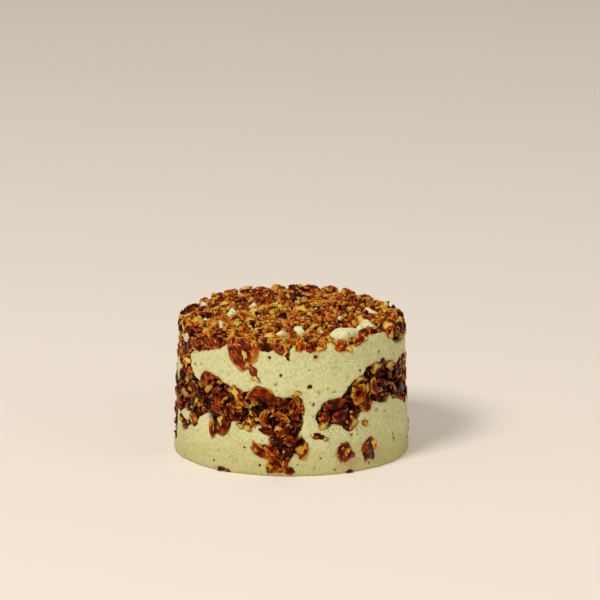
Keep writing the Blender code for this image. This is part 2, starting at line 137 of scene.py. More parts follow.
class Paint:
    """A material under construction: one Principled shader and the nodes that feed it."""

    def __init__(self, name: str) -> None:
        """Starts a material.

        Args:
            name: The material's name.
        """
        self.material = bpy.data.materials.new(name)
        self.material.use_nodes = True
        self.tree = self.material.node_tree
        self.shader = self.tree.nodes["Principled BSDF"]
        coordinates = self.node("ShaderNodeTexCoord", {}, {})
        self.place = coordinates.outputs["Object"]

    def node(self, kind: str, settings: dict[str, Any], inputs: dict[Any, Any]) -> bpy.types.Node:
        """Adds a node of any type.

        Args:
            kind: The node's type.
            settings: Its properties, set before its sockets.
            inputs: The values or links of its input sockets, by name or number.

        Returns:
            The new node.
        """
        node = self.tree.nodes.new(kind)
        for key, setting in settings.items():
            setattr(node, key, setting)
        for key, source in inputs.items():
            self.feed(node.inputs[key], source)
        return node

    def feed(self, socket: bpy.types.NodeSocket, source: Any) -> None:
        """Links a socket to its source, or sets it.

        Args:
            socket: The input socket.
            source: A Value, an output socket, a number, a colour or a vector.
        """
        if isinstance(source, Value):
            self.tree.links.new(source.socket, socket)
        elif isinstance(source, bpy.types.NodeSocket):
            self.tree.links.new(source, socket)
        elif isinstance(source, tuple) and socket.type == "RGBA":
            socket.default_value = (*source[:3], 1.0)
        else:
            socket.default_value = source

    def noise(self, size: float, detail: float = 2.0, rough: float = 0.5, shift: float = 0.0) -> Value:
        """Cloudy variation over the piece.

        Args:
            size: The size of its blotches in metres.
            detail: How many finer layers it has.
            rough: How strong the finer layers are.
            shift: Moves the pattern, so that two of one size differ.

        Returns:
            The noise, from 0 to 1 and about 0.5.
        """
        inputs = {
            "Vector": self.place,
            "W": shift,
            "Scale": 1.0 / size,
            "Detail": detail,
            "Roughness": rough,
        }
        node = self.node("ShaderNodeTexNoise", {"noise_dimensions": "4D"}, inputs)
        return Value(self, node.outputs["Fac"])

    def spots(self, size: float, share: float, edge: float = 0.06) -> Value:
        """Small round spots, strewn by chance.

        Args:
            size: The size of the cells that each may hold a spot.
            share: How much of its cell a spot fills, as a radius.
            edge: How soft the spots' edges are.

        Returns:
            1 inside the spots and 0 outside.
        """
        cells = self.node("ShaderNodeTexVoronoi", {}, {"Vector": self.place, "Scale": 1.0 / size})
        distance = Value(self, cells.outputs["Distance"])
        chance = self.channels(cells.outputs["Color"])[0]
        return (chance * share - distance).between(0.0, edge)

    def channels(self, colour: bpy.types.NodeSocket) -> list[Value]:
        """Splits a colour into its three numbers.

        Args:
            colour: The colour's socket.

        Returns:
            Red, green and blue.
        """
        node = self.node("ShaderNodeSeparateColor", {}, {"Color": colour})
        return [Value(self, output) for output in node.outputs]

    def painted(self, name: str) -> list[Value]:
        """The three numbers of a colour that is painted on the mesh."""
        node = self.node("ShaderNodeAttribute", {"attribute_name": name}, {})
        return self.channels(node.outputs["Color"])

    def blend(self, factor: Any, first: Any, second: Any) -> bpy.types.NodeSocket:
        """Mixes two colours.

        Args:
            factor: 0 for the first, 1 for the second.
            first: A colour or its socket.
            second: A colour or its socket.

        Returns:
            The mixed colour's socket.
        """
        inputs = {"Factor": factor, MIX_FIRST: first, MIX_SECOND: second}
        return self.node("ShaderNodeMix", {"data_type": "RGBA"}, inputs).outputs[MIX_RESULT]

    def ramp(self, factor: Value, stops: Sequence[tuple[float, Colour]]) -> bpy.types.NodeSocket:
        """Reads a colour off a ramp.

        Args:
            factor: Where on the ramp to read.
            stops: The ramp's places and colours.

        Returns:
            The colour's socket.
        """
        node = self.node("ShaderNodeValToRGB", {}, {"Fac": factor})
        elements = node.color_ramp.elements
        while len(elements) < len(stops):
            elements.new(1.0)
        for element, (position, colour) in zip(elements, stops):
            element.position = position
            element.color = (*colour, 1.0)
        return node.outputs["Color"]

    def bump(self, height: Value, depth: float) -> bpy.types.NodeSocket:
        """Turns a height into a bumpy normal.

        Args:
            height: The relief, from 0 to 1.
            depth: How deep the relief is in metres.

        Returns:
            The normal's socket.
        """
        inputs = {"Height": height, "Distance": depth, "Strength": 1.0}
        return self.node("ShaderNodeBump", {}, inputs).outputs["Normal"]

    def finish(self, settings: dict[str, Any]) -> bpy.types.Material:
        """Feeds the shader's sockets.

        Args:
            settings: The values or links of its sockets, by name.

        Returns:
            The finished material.
        """
        for name, source in settings.items():
            self.feed(self.shader.inputs[name], source)
        return self.material


# ---- Finishes ----


@dataclass(frozen=True)
class HalvaFinish:
    """Pressed sesame halva: matte, pale green-yellow, with fine pores, flecks and crumbs."""

    pale: Colour = (0.675, 0.675, 0.35)
    deep: Colour = (0.49, 0.46, 0.185)
    # Painted shade: the darker, yellower colour towards the floor
    foot: Colour = (0.46, 0.39, 0.13)
    oil: Colour = (0.36, 0.23, 0.05)
    fleck: Colour = (0.16, 0.09, 0.02)
    # Painted light: the lighter colour of the halva above the top's level
    painted_top_light: Colour = (0.88, 0.86, 0.54)
    cloud_size: float = 26 * MM
    cloud_strength: float = 0.5
    grain_size: float = 2.2 * MM
    grain_strength: float = 3.3
    foot_shade_height: float = 30 * MM
    foot_shade_strength: float = 0.58
    painted_top_light_height: float = 95.5 * MM
    painted_top_light_fade: float = 4 * MM
    painted_top_light_strength: float = 0.8
    smear_size: float = 4 * MM
    smear_edge: float = 0.9
    oil_strength: float = 0.55
    fleck_cell: float = 3.4 * MM
    fleck_patch: float = 14 * MM
    fleck_strength: float = 0.75
    pore_cell: float = 2.3 * MM
    pore_depth: float = 1.4
    spot_share: float = 0.2
    crumb_size: float = 1.1 * MM
    crumb_strength: float = 0.6
    dent_size: float = 4.5 * MM
    relief_depth: float = 1.0 * MM
    roughness: float = 0.82
    specular: float = 0.3

    def make(self) -> bpy.types.Material:
        """Builds the material.

        Returns:
            The material.
        """
        paint = Paint("halva")
        patches = paint.noise(self.fleck_patch, 1.0, 0.5, 5.0).between(0.38, 0.56)
        flecks = paint.spots(self.fleck_cell, self.spot_share) * patches
        base = paint.blend(flecks * self.fleck_strength, self._body(paint), self.fleck)
        relief = paint.noise(self.crumb_size, 3.0, 0.65, 3.0) * self.crumb_strength
        relief = relief + paint.noise(self.dent_size, 2.0, 0.5, 7.0)
        pores = paint.spots(self.pore_cell, self.spot_share, 0.1) + flecks
        settings = {
            "Base Color": base,
            "Roughness": self.roughness,
            "Specular IOR Level": self.specular,
            "Normal": paint.bump(relief - pores * self.pore_depth, self.relief_depth),
        }
        return paint.finish(settings)

    def _body(self, paint: Paint) -> bpy.types.NodeSocket:
        """Mixes the halva's colour, apart from its flecks.

        Args:
            paint: The material.

        Returns:
            The colour's socket.
        """
        height = paint.channels(paint.place)[2]
        cloud = paint.noise(self.cloud_size, 4.0, 0.6).between(0.3, 0.72)
        grain = paint.noise(self.grain_size, 3.0, 0.7, 2.0) - 0.5
        mottle = (cloud * self.cloud_strength + grain * self.grain_strength).clamped()
        base = paint.blend(mottle, self.pale, self.deep)
        # Painted shade: darker and yellower towards the floor
        low = 1.0 - height.between(0.0, self.foot_shade_height)
        base = paint.blend(low * self.foot_shade_strength, base, self.foot)
        # Painted light: lighter above the top's level, where the top gets more light than the side
        high = height.between(self.painted_top_light_height, self.painted_top_light_height + self.painted_top_light_fade)
        base = paint.blend(high * self.painted_top_light_strength, base, self.painted_top_light)
        edge = (paint.noise(self.smear_size, 3.0, 0.6, 9.0) - 0.5) * self.smear_edge
        smear = (paint.painted("stain")[0] + edge).between(0.35, 1.0)
        return paint.blend(smear * self.oil_strength, base, self.oil)


@dataclass(frozen=True)
class NutFinish:
    """Chopped walnut in caramel: glossy red-brown skins, and amber or yellow flesh where broken.

    The colour attribute holds how bare of skin a place is, its piece's tone of skin with painted light
    at its edges, and how pale its piece's flesh is. A share of painted shade darkens the whole colour.
    """

    name: str
    night: Colour = (0.011, 0.0018, 0.0008)
    skin: Colour = (0.115, 0.009, 0.001)
    caramel: Colour = (0.35, 0.034, 0.001)
    amber: Colour = (0.57, 0.14, 0.005)
    flesh: Colour = (0.60, 0.37, 0.033)
    cream: Colour = (0.80, 0.64, 0.14)
    glow: Colour = (1.0, 0.36, 0.07)
    # Shifts the skins darker: partly a darker roast, partly painted shade, larger on the side's copy than
    # the top's
    roast_and_shade: float = 0.2
    gloss: float = 0.12
    # Painted shade: the share of the darkest colour mixed into the whole piece
    painted_shade: float = 0.26
    cloud_size: float = 5.0 * MM
    fine_size: float = 1.1 * MM
    cloud_tone: float = 1.8
    fine_tone: float = 0.3
    tone_scale: float = 0.84
    light_scale: float = 0.55
    bare_scale: float = 1.3
    bare_middle: float = 0.62
    flesh_cloud: float = 0.9
    ragged: float = 0.7
    bare_from: float = 0.28
    bare_to: float = 0.7
    cloud_relief: float = 0.9
    fine_relief: float = 0.16
    relief_depth: float = 0.8 * MM
    roughness: float = 0.26
    bare_roughness: float = 0.24
    bare_gloss: float = 0.7
    coat_roughness: float = 0.06
    coat_ior: float = 1.36
    specular: float = 0.17

    def make(self) -> bpy.types.Material:
        """Builds the material.

        Returns:
            The material.
        """
        paint = Paint(self.name)
        broken, tone, light = paint.painted("nut")
        cloud = paint.noise(self.cloud_size, 1.6, 0.5)
        fine = paint.noise(self.fine_size, 2.0, 0.6, 4.0)
        skin_tone = tone + (cloud - 0.5) * self.cloud_tone + (fine - 0.5) * self.fine_tone
        skin = paint.ramp(
            skin_tone * self.tone_scale - self.roast_and_shade,
            (
                (0.0, self.night),
                (0.26, self.skin),
                (0.54, self.caramel),
                (0.76, self.amber),
                (1.0, self.flesh),
            ),
        )
        flesh_tone = light * self.light_scale + (broken - self.bare_middle) * self.bare_scale
        flesh_tone = flesh_tone + (cloud - 0.5) * self.flesh_cloud
        flesh = paint.ramp(flesh_tone, ((0.0, self.amber), (0.5, self.flesh), (1.0, self.cream)))
        bare = broken + (fine - 0.5) * self.ragged + (cloud - 0.5) * self.ragged
        bare = bare.between(self.bare_from, self.bare_to)
        relief = cloud * self.cloud_relief + fine * self.fine_relief
        settings = {
            # Painted shade darkens the mixed colour towards the darkest one
            "Base Color": paint.blend(self.painted_shade, paint.blend(bare, skin, flesh), self.night),
            "Roughness": self.roughness + bare * self.bare_roughness,
            "Specular IOR Level": self.specular,
            "Specular Tint": self.glow,
            "Coat Weight": self.gloss - bare * self.gloss * self.bare_gloss,
            "Coat Roughness": self.coat_roughness,
            "Coat IOR": self.coat_ior,
            "Normal": paint.bump(relief, self.relief_depth),
        }
        return paint.finish(settings)


@dataclass(frozen=True)
class CaramelAndShadeFinish:
    """The dark caramel deep between the nuts, near-black partly as painted shade in the gaps."""

    dark: Colour = (0.010, 0.0015, 0.0006)
    warm: Colour = (0.07, 0.010, 0.0015)
    cloud_size: float = 5 * MM
    relief_depth: float = 1.5 * MM
    roughness: float = 0.5
    specular: float = 0.1

    def make(self) -> bpy.types.Material:
        """Builds the material.

        Returns:
            The material.
        """
        paint = Paint("caramel_and_shade")
        cloud = paint.noise(self.cloud_size, 3.0, 0.6)
        settings = {
            "Base Color": paint.blend(cloud.between(0.45, 0.75), self.dark, self.warm),
            "Roughness": self.roughness,
            "Specular IOR Level": self.specular,
            "Normal": paint.bump(cloud, self.relief_depth),
        }
        return paint.finish(settings)


@dataclass(frozen=True)
class FloorFinish:
    """A plain pale floor."""

    colour: Colour = (0.80, 0.735, 0.665)
    shine: float = 0.2
    roughness: float = 0.9
    specular: float = 0.1

    def make(self) -> bpy.types.Material:
        """Builds the material.

        Returns:
            The material.
        """
        settings = {
            "Base Color": self.colour,
            "Roughness": self.roughness,
            "Specular IOR Level": self.specular,
            "Emission Color": self.colour,
            "Emission Strength": self.shine,
        }
        return Paint("pale_floor").finish(settings)


# ---- Modelling helpers ----


class Bench:
    """The operators that every piece is modelled with."""

    @staticmethod
    def clear() -> None:
        """Leaves edit mode and deselects everything."""
        if bpy.context.object and bpy.context.object.mode != "OBJECT":
            bpy.ops.object.mode_set(mode="OBJECT")
        bpy.ops.object.select_all(action="DESELECT")

    @staticmethod
    def hold(obj: bpy.types.Object) -> None:
        """Selects one object alone and makes it the active one."""
        Bench.clear()
        obj.select_set(True)
        bpy.context.view_layer.objects.active = obj

    @staticmethod
    @contextmanager
    def editing(obj: bpy.types.Object, mode: str = "FACE", select: bool = False) -> Iterator[None]:
        """Keeps an object in edit mode for as long as a with block lasts.

        Args:
            obj: The object.
            mode: What is selected: VERT, EDGE or FACE.
            select: Whether all of it is selected first.

        Returns:
            The with block's manager.
        """
        Bench.hold(obj)
        bpy.ops.object.mode_set(mode="EDIT")
        bpy.ops.mesh.select_mode(type=mode)
        if select:
            bpy.ops.mesh.select_all(action="SELECT")
        yield
        bpy.ops.object.mode_set(mode="OBJECT")

    @staticmethod
    def start(operator: Callable[..., Any], name: str, **sizes: Any) -> bpy.types.Object:
        """Adds a primitive, with nothing else selected.

        Args:
            operator: The primitive's operator.
            name: The new object's name.
            sizes: The operator's own settings.

        Returns:
            The new object, active and selected.
        """
        Bench.clear()
        operator(**sizes)
        obj = bpy.context.object
        obj.name = name
        bpy.ops.object.transform_apply(location=True, rotation=True, scale=True)
        return obj

    @staticmethod
    def modify(obj: bpy.types.Object, kind: str, **settings: Any) -> None:
        """Adds a modifier and applies it.

        Args:
            obj: The object.
            kind: The modifier's type.
            settings: Its properties.
        """
        Bench.hold(obj)
        modifier = obj.modifiers.new(kind.lower(), kind)
        for key, setting in settings.items():
            setattr(modifier, key, setting)
        bpy.ops.object.modifier_apply(modifier=modifier.name)

    @staticmethod
    def combine(obj: bpy.types.Object, operation: str, tools: Sequence[bpy.types.Object]) -> None:
        """Adds shapes to an object or cuts them out of it, and removes them.

        Args:
            obj: The object.
            operation: UNION, DIFFERENCE or INTERSECT.
            tools: The shapes.
        """
        for tool in tools:
            Bench.modify(obj, "BOOLEAN", operation=operation, solver="MANIFOLD", object=tool)
            bpy.data.objects.remove(tool, do_unlink=True)

    @staticmethod
    def smooth(obj: bpy.types.Object, angle: float = 180.0) -> None:
        """Shades an object smooth, except over sharp edges.

        Args:
            obj: The object.
            angle: The least angle of a sharp edge in degrees.
        """
        Bench.hold(obj)
        if angle >= 180:
            bpy.ops.object.shade_smooth()
        else:
            bpy.ops.object.shade_smooth_by_angle(angle=math.radians(angle))

    @staticmethod
    def reshape(obj: bpy.types.Object, rule: Callable[[Vector], Vector]) -> None:
        """Moves each corner of an object by a rule.

        Args:
            obj: The object.
            rule: Gives a corner's new place from its old one.
        """
        for vertex in obj.data.vertices:
            vertex.co = rule(vertex.co.copy())
        obj.data.update()


def polar(radius: float, angle: float, height: float) -> Vector:
    """A point by its radius, its angle in degrees from the front, and its height."""
    turn = math.radians(angle)
    return Vector((radius * math.sin(turn), -radius * math.cos(turn), height))


def angle_of(point: Vector) -> float:
    """The angle of a point in degrees from the front, from -180 to 180."""
    return math.degrees(math.atan2(point.x, -point.y))


def apart(angle: float, other: float) -> float:
    """The signed difference between two angles in degrees, from -180 to 180."""
    return (angle - other + 180) % 360 - 180


def bumpy(point: Vector, shift: Vector, layers: Layers) -> float:
    """How far noise pushes a point out or in.

    Args:
        point: The point.
        shift: Moves the noise, so that no two shapes are alike.
        layers: The noise's layers, each with its scale and its strength.

    Returns:
        The factor to scale the point by.
    """
    swell = 1.0
    for scale, strength in layers:
        swell += strength * noise.noise(point * scale + shift)
    return swell


def eased(share: float) -> float:
    """A share of a way, slow at both ends."""
    return share * share * (3 - 2 * share)


# ---- The block's form ----


@dataclass(frozen=True)
class Block:
    """The tapered block that the halva was moulded as."""

    base_radius: float = 87.5 * MM
    top_radius: float = 83.0 * MM
    height: float = 98.1 * MM
    slope: float = 0.045
    dome: float = 2.5 * MM

    def radius(self, height: float) -> float:
        """The side's radius at a height."""
        return self.base_radius + (self.top_radius - self.base_radius) * height / self.height

    def top(self, x: float, y: float) -> float:
        """The top's height over a place."""
        inwards = 1 - (x * x + y * y) / self.top_radius**2
        return self.height + self.slope * y + self.dome * inwards


@dataclass
class Outline:
    """A wavy line round the block's side, by knots of angle in degrees and height in mm."""

    knots: Knots
    ragged: float = 0.0
    seed: float = 0.0
    steps: int = 1440
    wobble_scale: float = 14.0
    fine_scale: float = 2.3
    fine_share: float = 0.6
    hidden_from: float = 80.0
    hidden_over: float = 15.0
    hidden_extra: float = 1.6
    table: np.ndarray = field(init=False)

    def __post_init__(self) -> None:
        """Works the line out once, all the way round."""
        angles = [360 * step / self.steps - 180 for step in range(self.steps + 1)]
        self.table = np.array([self._height(angle) for angle in angles])

    def at(self, angle: Any) -> Any:
        """The line's height at one angle or at many.

        Args:
            angle: The angle or angles in degrees.

        Returns:
            The height or heights in metres.
        """
        place = (np.asarray(angle) + 180) % 360 / 360 * self.steps
        height = np.interp(place, np.arange(self.steps + 1), self.table)
        return height if height.ndim else float(height)

    def _height(self, angle: float) -> float:
        """The line's height at one angle, eased from knot to knot.

        Args:
            angle: The angle in degrees.

        Returns:
            The height in metres.
        """
        first_angle, first_height = self.knots[0]
        closed = self.knots + ((first_angle + 360, first_height),)
        for (start, low), (end, high) in zip(closed, closed[1:]):
            if start <= angle <= end:
                share = eased((angle - start) / (end - start))
                return (low + (high - low) * share + self._wobble(angle)) * MM
        return first_height * MM

    def _wobble(self, angle: float) -> float:
        """A small ragged deviation, larger where the side is hidden from the front.

        Args:
            angle: The angle in degrees.

        Returns:
            The deviation in mm.
        """
        turn = math.radians(angle)
        spot = Vector((math.cos(turn), math.sin(turn), self.seed)) * self.wobble_scale
        hidden = min(max((abs(angle) - self.hidden_from) / self.hidden_over, 0.0), 1.0)
        wave = noise.noise(spot) + self.fine_share * noise.noise(spot * self.fine_scale)
        return self.ragged * (1 + self.hidden_extra * hidden) * wave


LAYER_TOP = Outline(
    (
        (-180, 62), (-168, 68), (-155, 71), (-140, 64), (-125, 58), (-112, 64), (-100, 70),
        (-92, 62), (-84, 56), (-76, 59), (-73.5, 80), (-62, 80), (-59.5, 70), (-56, 65), (-52, 63.5),
        (-48, 67),
        (-45, 72), (-40, 70), (-35, 67), (-30, 63), (-25, 61), (-20, 62), (-17, 66), (-12, 64),
        (-8, 59), (-3, 58), (2, 61), (5, 58), (7, 50), (13, 50), (14, 54), (20, 54.5), (25, 57),
        (28, 60), (30, 65), (33, 68.5), (38, 71), (41, 77), (55, 77.5), (62, 75), (66, 72),
        (70, 75.5), (79, 76), (90, 69), (100, 62), (112, 64), (125, 70), (137, 66), (150, 58),
        (165, 58),
    ),
    1.0,
    1.0,
)  # fmt: skip
LAYER_BOTTOM = Outline(
    (
        (-180, 34), (-165, 38), (-150, 30), (-135, 24), (-120, 30), (-105, 36), (-94, 26), (-91, 10),
        (-79, 8), (-77, 28), (-75, 38), (-71.5, 20), (-65, 20), (-60, 26), (-54, 27), (-51, 36), (-45, 40),
        (-43, 34), (-41, 25), (-35, 25), (-32, 29), (-30, 37), (-25, 36), (-20, 33.5), (-15, 36),
        (-13, 31), (-11, 27), (0, 27), (5, 32), (7, 38), (13, 36), (17, 33), (20, 35.5),
        (25, 35), (27, 31), (30, 28), (33, 33), (35, 40.5), (38, 42.5), (42, 44), (44, 48),
        (50, 46), (55, 45.5), (57, 50), (60, 47), (65, 45), (70, 42), (75, 40), (90, 40),
        (98, 32), (108, 36), (120, 42), (132, 38), (146, 30), (160, 30), (172, 32),
    ),
    1.0,
    2.0,
)  # fmt: skip
TOP_EDGE = Outline(
    (
        (-180, 90), (-165, 87), (-150, 91), (-135, 88), (-120, 84), (-105, 88), (-92, 90),
        (-88, 72), (-80, 69), (-62.5, 72), (-59.5, 81), (-50, 84), (-45, 86), (-40, 88), (-36, 91),
        (-17, 91), (-10, 93), (-7, 89), (-3, 86.5), (0, 92), (3, 94), (8, 92), (12, 91), (16, 90),
        (20, 96), (25, 90), (28, 88.5), (30, 92), (40, 93.5), (45, 95), (50, 97), (54, 96),
        (60, 90), (65, 86), (70, 85), (80, 85), (92, 88), (104, 91), (118, 89), (130, 86),
        (145, 89), (160, 91), (170, 90),
    ),
    0.8,
    3.0,
)  # fmt: skip


SHIFT_SCALE = 90
LUMP_RELIEF: Layers = ((150, 0.36), (380, 0.2))
SPOT_RELIEF: Layers = ((120, 0.42), (380, 0.16))


def uneven_ball(
    name: str, size: tuple[float, float, float], middle: Vector, relief: Layers, detail: int = 4
) -> bpy.types.Object:
    """Models an uneven ball about the origin.

    Args:
        name: The object's name.
        size: Its half sizes.
        middle: Where it will lie, so that no two are alike.
        relief: How its surface is pushed about.
        detail: The sphere's subdivisions.

    Returns:
        The ball.
    """
    operator = bpy.ops.mesh.primitive_ico_sphere_add
    ball = Bench.start(operator, name, subdivisions=detail, radius=1.0, scale=size)
    shift = middle * SHIFT_SCALE
    Bench.reshape(ball, lambda point: point * bumpy(point, shift, relief))
    return ball


@dataclass(frozen=True)
class Lump:
    """A rounded lump at the side: angle in degrees, and height and half sizes in metres."""

    angle: float
    height: float
    wide: float
    tall: float
    deep: float = 8 * MM
    sunk: float = 4 * MM

    def holds(self, angle: float, height: float, margin: float = 0.0) -> bool:
        """Whether a place on the side lies on this lump.

        Args:
            angle: The place's angle in degrees.
            height: The place's height.
            margin: How far outside the lump still counts.

        Returns:
            Whether it does.
        """
        along = np.radians(apart(angle, self.angle)) * BLOCK.radius(height)
        across = along / max(self.wide + margin, MM)
        up = (height - self.height) / max(self.tall + margin, MM)
        return across * across + up * up < 1

    def model(self, name: str, grow: float = 0.0, inwards: float = 0.0) -> bpy.types.Object:
        """Models the lump, facing out of the side.

        Args:
            name: The object's name.
            grow: How much larger it is all round.
            inwards: How much deeper it lies.

        Returns:
            The lump.
        """
        middle = polar(BLOCK.radius(self.height) - self.sunk - inwards, self.angle, self.height)
        size = (self.wide + grow, self.deep + grow, self.tall + grow)
        lump = uneven_ball(name, size, middle, LUMP_RELIEF)
        turn = Matrix.Rotation(math.radians(self.angle), 4, "Z")
        lump.data.transform(Matrix.Translation(middle) @ turn)
        return lump


@dataclass(frozen=True)
class Spot:
    """Bare halva on top, in mm: place, half the width and half the depth."""

    x: float
    y: float
    wide: float
    deep: float
    rise: float = 3.8
    tall: float = 9.0

    def holds(self, x: float, y: float, margin: float = 0.0) -> bool:
        """Whether a place on top lies on this spot.

        Args:
            x: The place to the right, in metres.
            y: The place to the back, in metres.
            margin: How far outside the spot still counts, in mm.

        Returns:
            Whether it does.
        """
        across = (x / MM - self.x) / (self.wide + margin)
        along = (y / MM - self.y) / (self.deep + margin)
        return across * across + along * along < 1

    def model(self, name: str) -> bpy.types.Object:
        """Models the bump that the spot is the top of.

        Args:
            name: The object's name.

        Returns:
            The bump.
        """
        x, y = self.x * MM, self.y * MM
        size = (self.wide * MM, self.deep * MM, self.tall * MM)
        bump = uneven_ball(name, size, Vector((x, y, 0)), SPOT_RELIEF)
        height = BLOCK.top(x, y) + (self.rise - self.tall) * MM
        bump.data.transform(Matrix.Translation((x, y, height)))
        return bump


BLOCK = Block()


def lumps(rows: Sequence[tuple[float, ...]]) -> tuple[Lump, ...]:
    """Makes lumps from rows of degrees and mm, in the order of a lump's fields."""
    return tuple(Lump(row[0], *(size * MM for size in row[1:])) for row in rows)


TAIL_ROWS = (
    (-14.5, 19, 7.5, 5.5), (-6, 17, 9, 18), (-2, 26, 10, 10), (2.6, 24, 7, 9), (163, 24, 12, 12),
    (-101, 30, 10, 11),
)  # fmt: skip
BRIDGE_ROWS = (
    (10.0, 54, 6.6, 10, 14, 2), (9.0, 44, 4.6, 12, 14, 2), (9.6, 34, 6.4, 8, 14, 2),
    (144, 64, 9, 13, 15, 2), (140, 48, 12, 12, 15, 2), (145, 34, 9, 12, 15, 2),
    (-126, 57, 9, 13, 15, 2), (-121, 42, 10, 12, 15, 2), (-126, 28, 13, 11, 15, 2),
    (-65, 33.5, 7, 4.0, 7, 3), (-68, 90, 9, 3.8, 7, 3), (-80, 62.5, 9, 7, 9, 3),
    (-30.5, 93, 6, 2.2, 7, 3),
)  # fmt: skip
TAILS, BRIDGES = lumps(TAIL_ROWS), lumps(BRIDGE_ROWS)
SPOT_ROWS = (
    (37, -52, 9.0, 14, 4.6), (43, -49, 7, 10, 4.2), (56, -24, 7.5, 10, 3.4), (-44.5, 4, 5.2, 10, 3.4),
    (-28, 22, 5, 3, 2.8), (5.5, -45, 5.0, 10, 3.4), (58, 12, 7, 6, 3.2), (-7, -55, 5.5, 8, 3.4),
    (-51, -30, 3, 8, 2.8), (-63, -10, 4, 5, 2.8), (50, -38, 5, 5, 3.2), (30, -56, 5, 6, 3.4),
    (22, -50, 3, 4, 2.8), (37, -8, 5, 3.5, 3.0), (4, 40, 4, 4, 2.8), (-66, 30, 4, 3, 2.6),
)  # fmt: skip
SPOTS = tuple(Spot(*row) for row in SPOT_ROWS)
HOLLOWS = (Spot(37, -24, 5, 8), Spot(-7, -11, 3.5, 6), Spot(14, 2, 3.5, 4))


def on_bridge(angle: float, height: float, margin: float) -> bool:
    """Whether a place on the side lies on halva that reaches through the walnuts."""
    return any(bridge.holds(angle, height, margin) for bridge in BRIDGES)


def is_walnut(angle: Any, height: Any) -> Any:
    """Whether the side shows the walnut layer or a tail of it.

    Args:
        angle: The angle of a place in degrees, or of many.
        height: Its height, or theirs.

    Returns:
        Whether it does, for each place.
    """
    inside = (LAYER_BOTTOM.at(angle) < height) & (height < LAYER_TOP.at(angle))
    for tail in TAILS:
        inside = inside | tail.holds(angle, height)
    return inside


def in_layer(angle: float, height: float, margin: float) -> bool:
    """Whether a place on the side lies well inside the walnut layer.

    Args:
        angle: The place's angle in degrees.
        height: The place's height.
        margin: How far inside the layer's edges it has to be.

    Returns:
        Whether it does.
    """
    if on_bridge(angle, height, margin) or height < margin:
        return False
    turn = math.degrees(margin / BLOCK.radius(height))
    steps = ((0, margin), (0, -margin), (-turn, 0), (turn, 0))
    return all(is_walnut(angle + across, height + up) for across, up in steps)


# ---- The halva and the caramel cores ----

# A face counts as level when its normal has at least this much of the upright
FLAT = 0.9
# How high the room over the top reaches, well above the halva
SKY = 130 * MM


@dataclass
class WavyDisc:
    """A disc whose rim follows an upper and a lower line round the side."""

    name: str
    reach: float
    rim_top: Callable[[float], float]
    rim_bottom: Callable[[float], float]
    hub_top: Callable[[float, float], float]
    hub_bottom: float
    hub_radius: float
    steps: int = 240
    rings: int = 3
    lip: float = 9 * MM

    def build(self) -> bpy.types.Object:
        """Models the disc.

        Returns:
            The disc, closed all round.
        """
        disc = Bench.start(
            bpy.ops.mesh.primitive_cylinder_add,
            self.name,
            vertices=self.steps,
            radius=1.0,
            depth=2.0,
            end_fill_type="TRIFAN",
        )
        with Bench.editing(disc):
            bpy.ops.mesh.select_all(action="DESELECT")
        for face in disc.data.polygons:
            face.select = abs(face.normal.z) > FLAT
        with Bench.editing(disc):
            bpy.ops.mesh.subdivide(number_cuts=self.rings)
        Bench.reshape(disc, self._place)
        return disc

    def _place(self, point: Vector) -> Vector:
        """Puts one corner of the plain cylinder where it belongs.

        Args:
            point: The corner's place on a cylinder of radius 1.

        Returns:
            Its place on the disc.
        """
        share = min(math.hypot(point.x, point.y), 1.0)
        angle = angle_of(point) if share > 0.01 else 0.0
        upper = point.z > 0
        rim = self.rim_top(angle) if upper else self.rim_bottom(angle)
        side = BLOCK.radius(min(max(rim, 0.0), BLOCK.height))
        edge = side + min(self.reach, 0.0)
        rings = (0.0, self.hub_radius, edge - self.lip, edge - MM, side + self.reach)
        radius = float(np.interp(share, np.linspace(0.0, 1.0, len(rings)), rings))
        place = polar(radius, angle, 0.0)
        hub = self.hub_top(place.x, place.y) if upper else self.hub_bottom
        inwards = min(max((edge - MM - radius) / (edge - MM - self.hub_radius), 0.0), 1.0)
        place.z = rim + (hub - rim) * inwards * inwards * (3 - 2 * inwards)
        return place


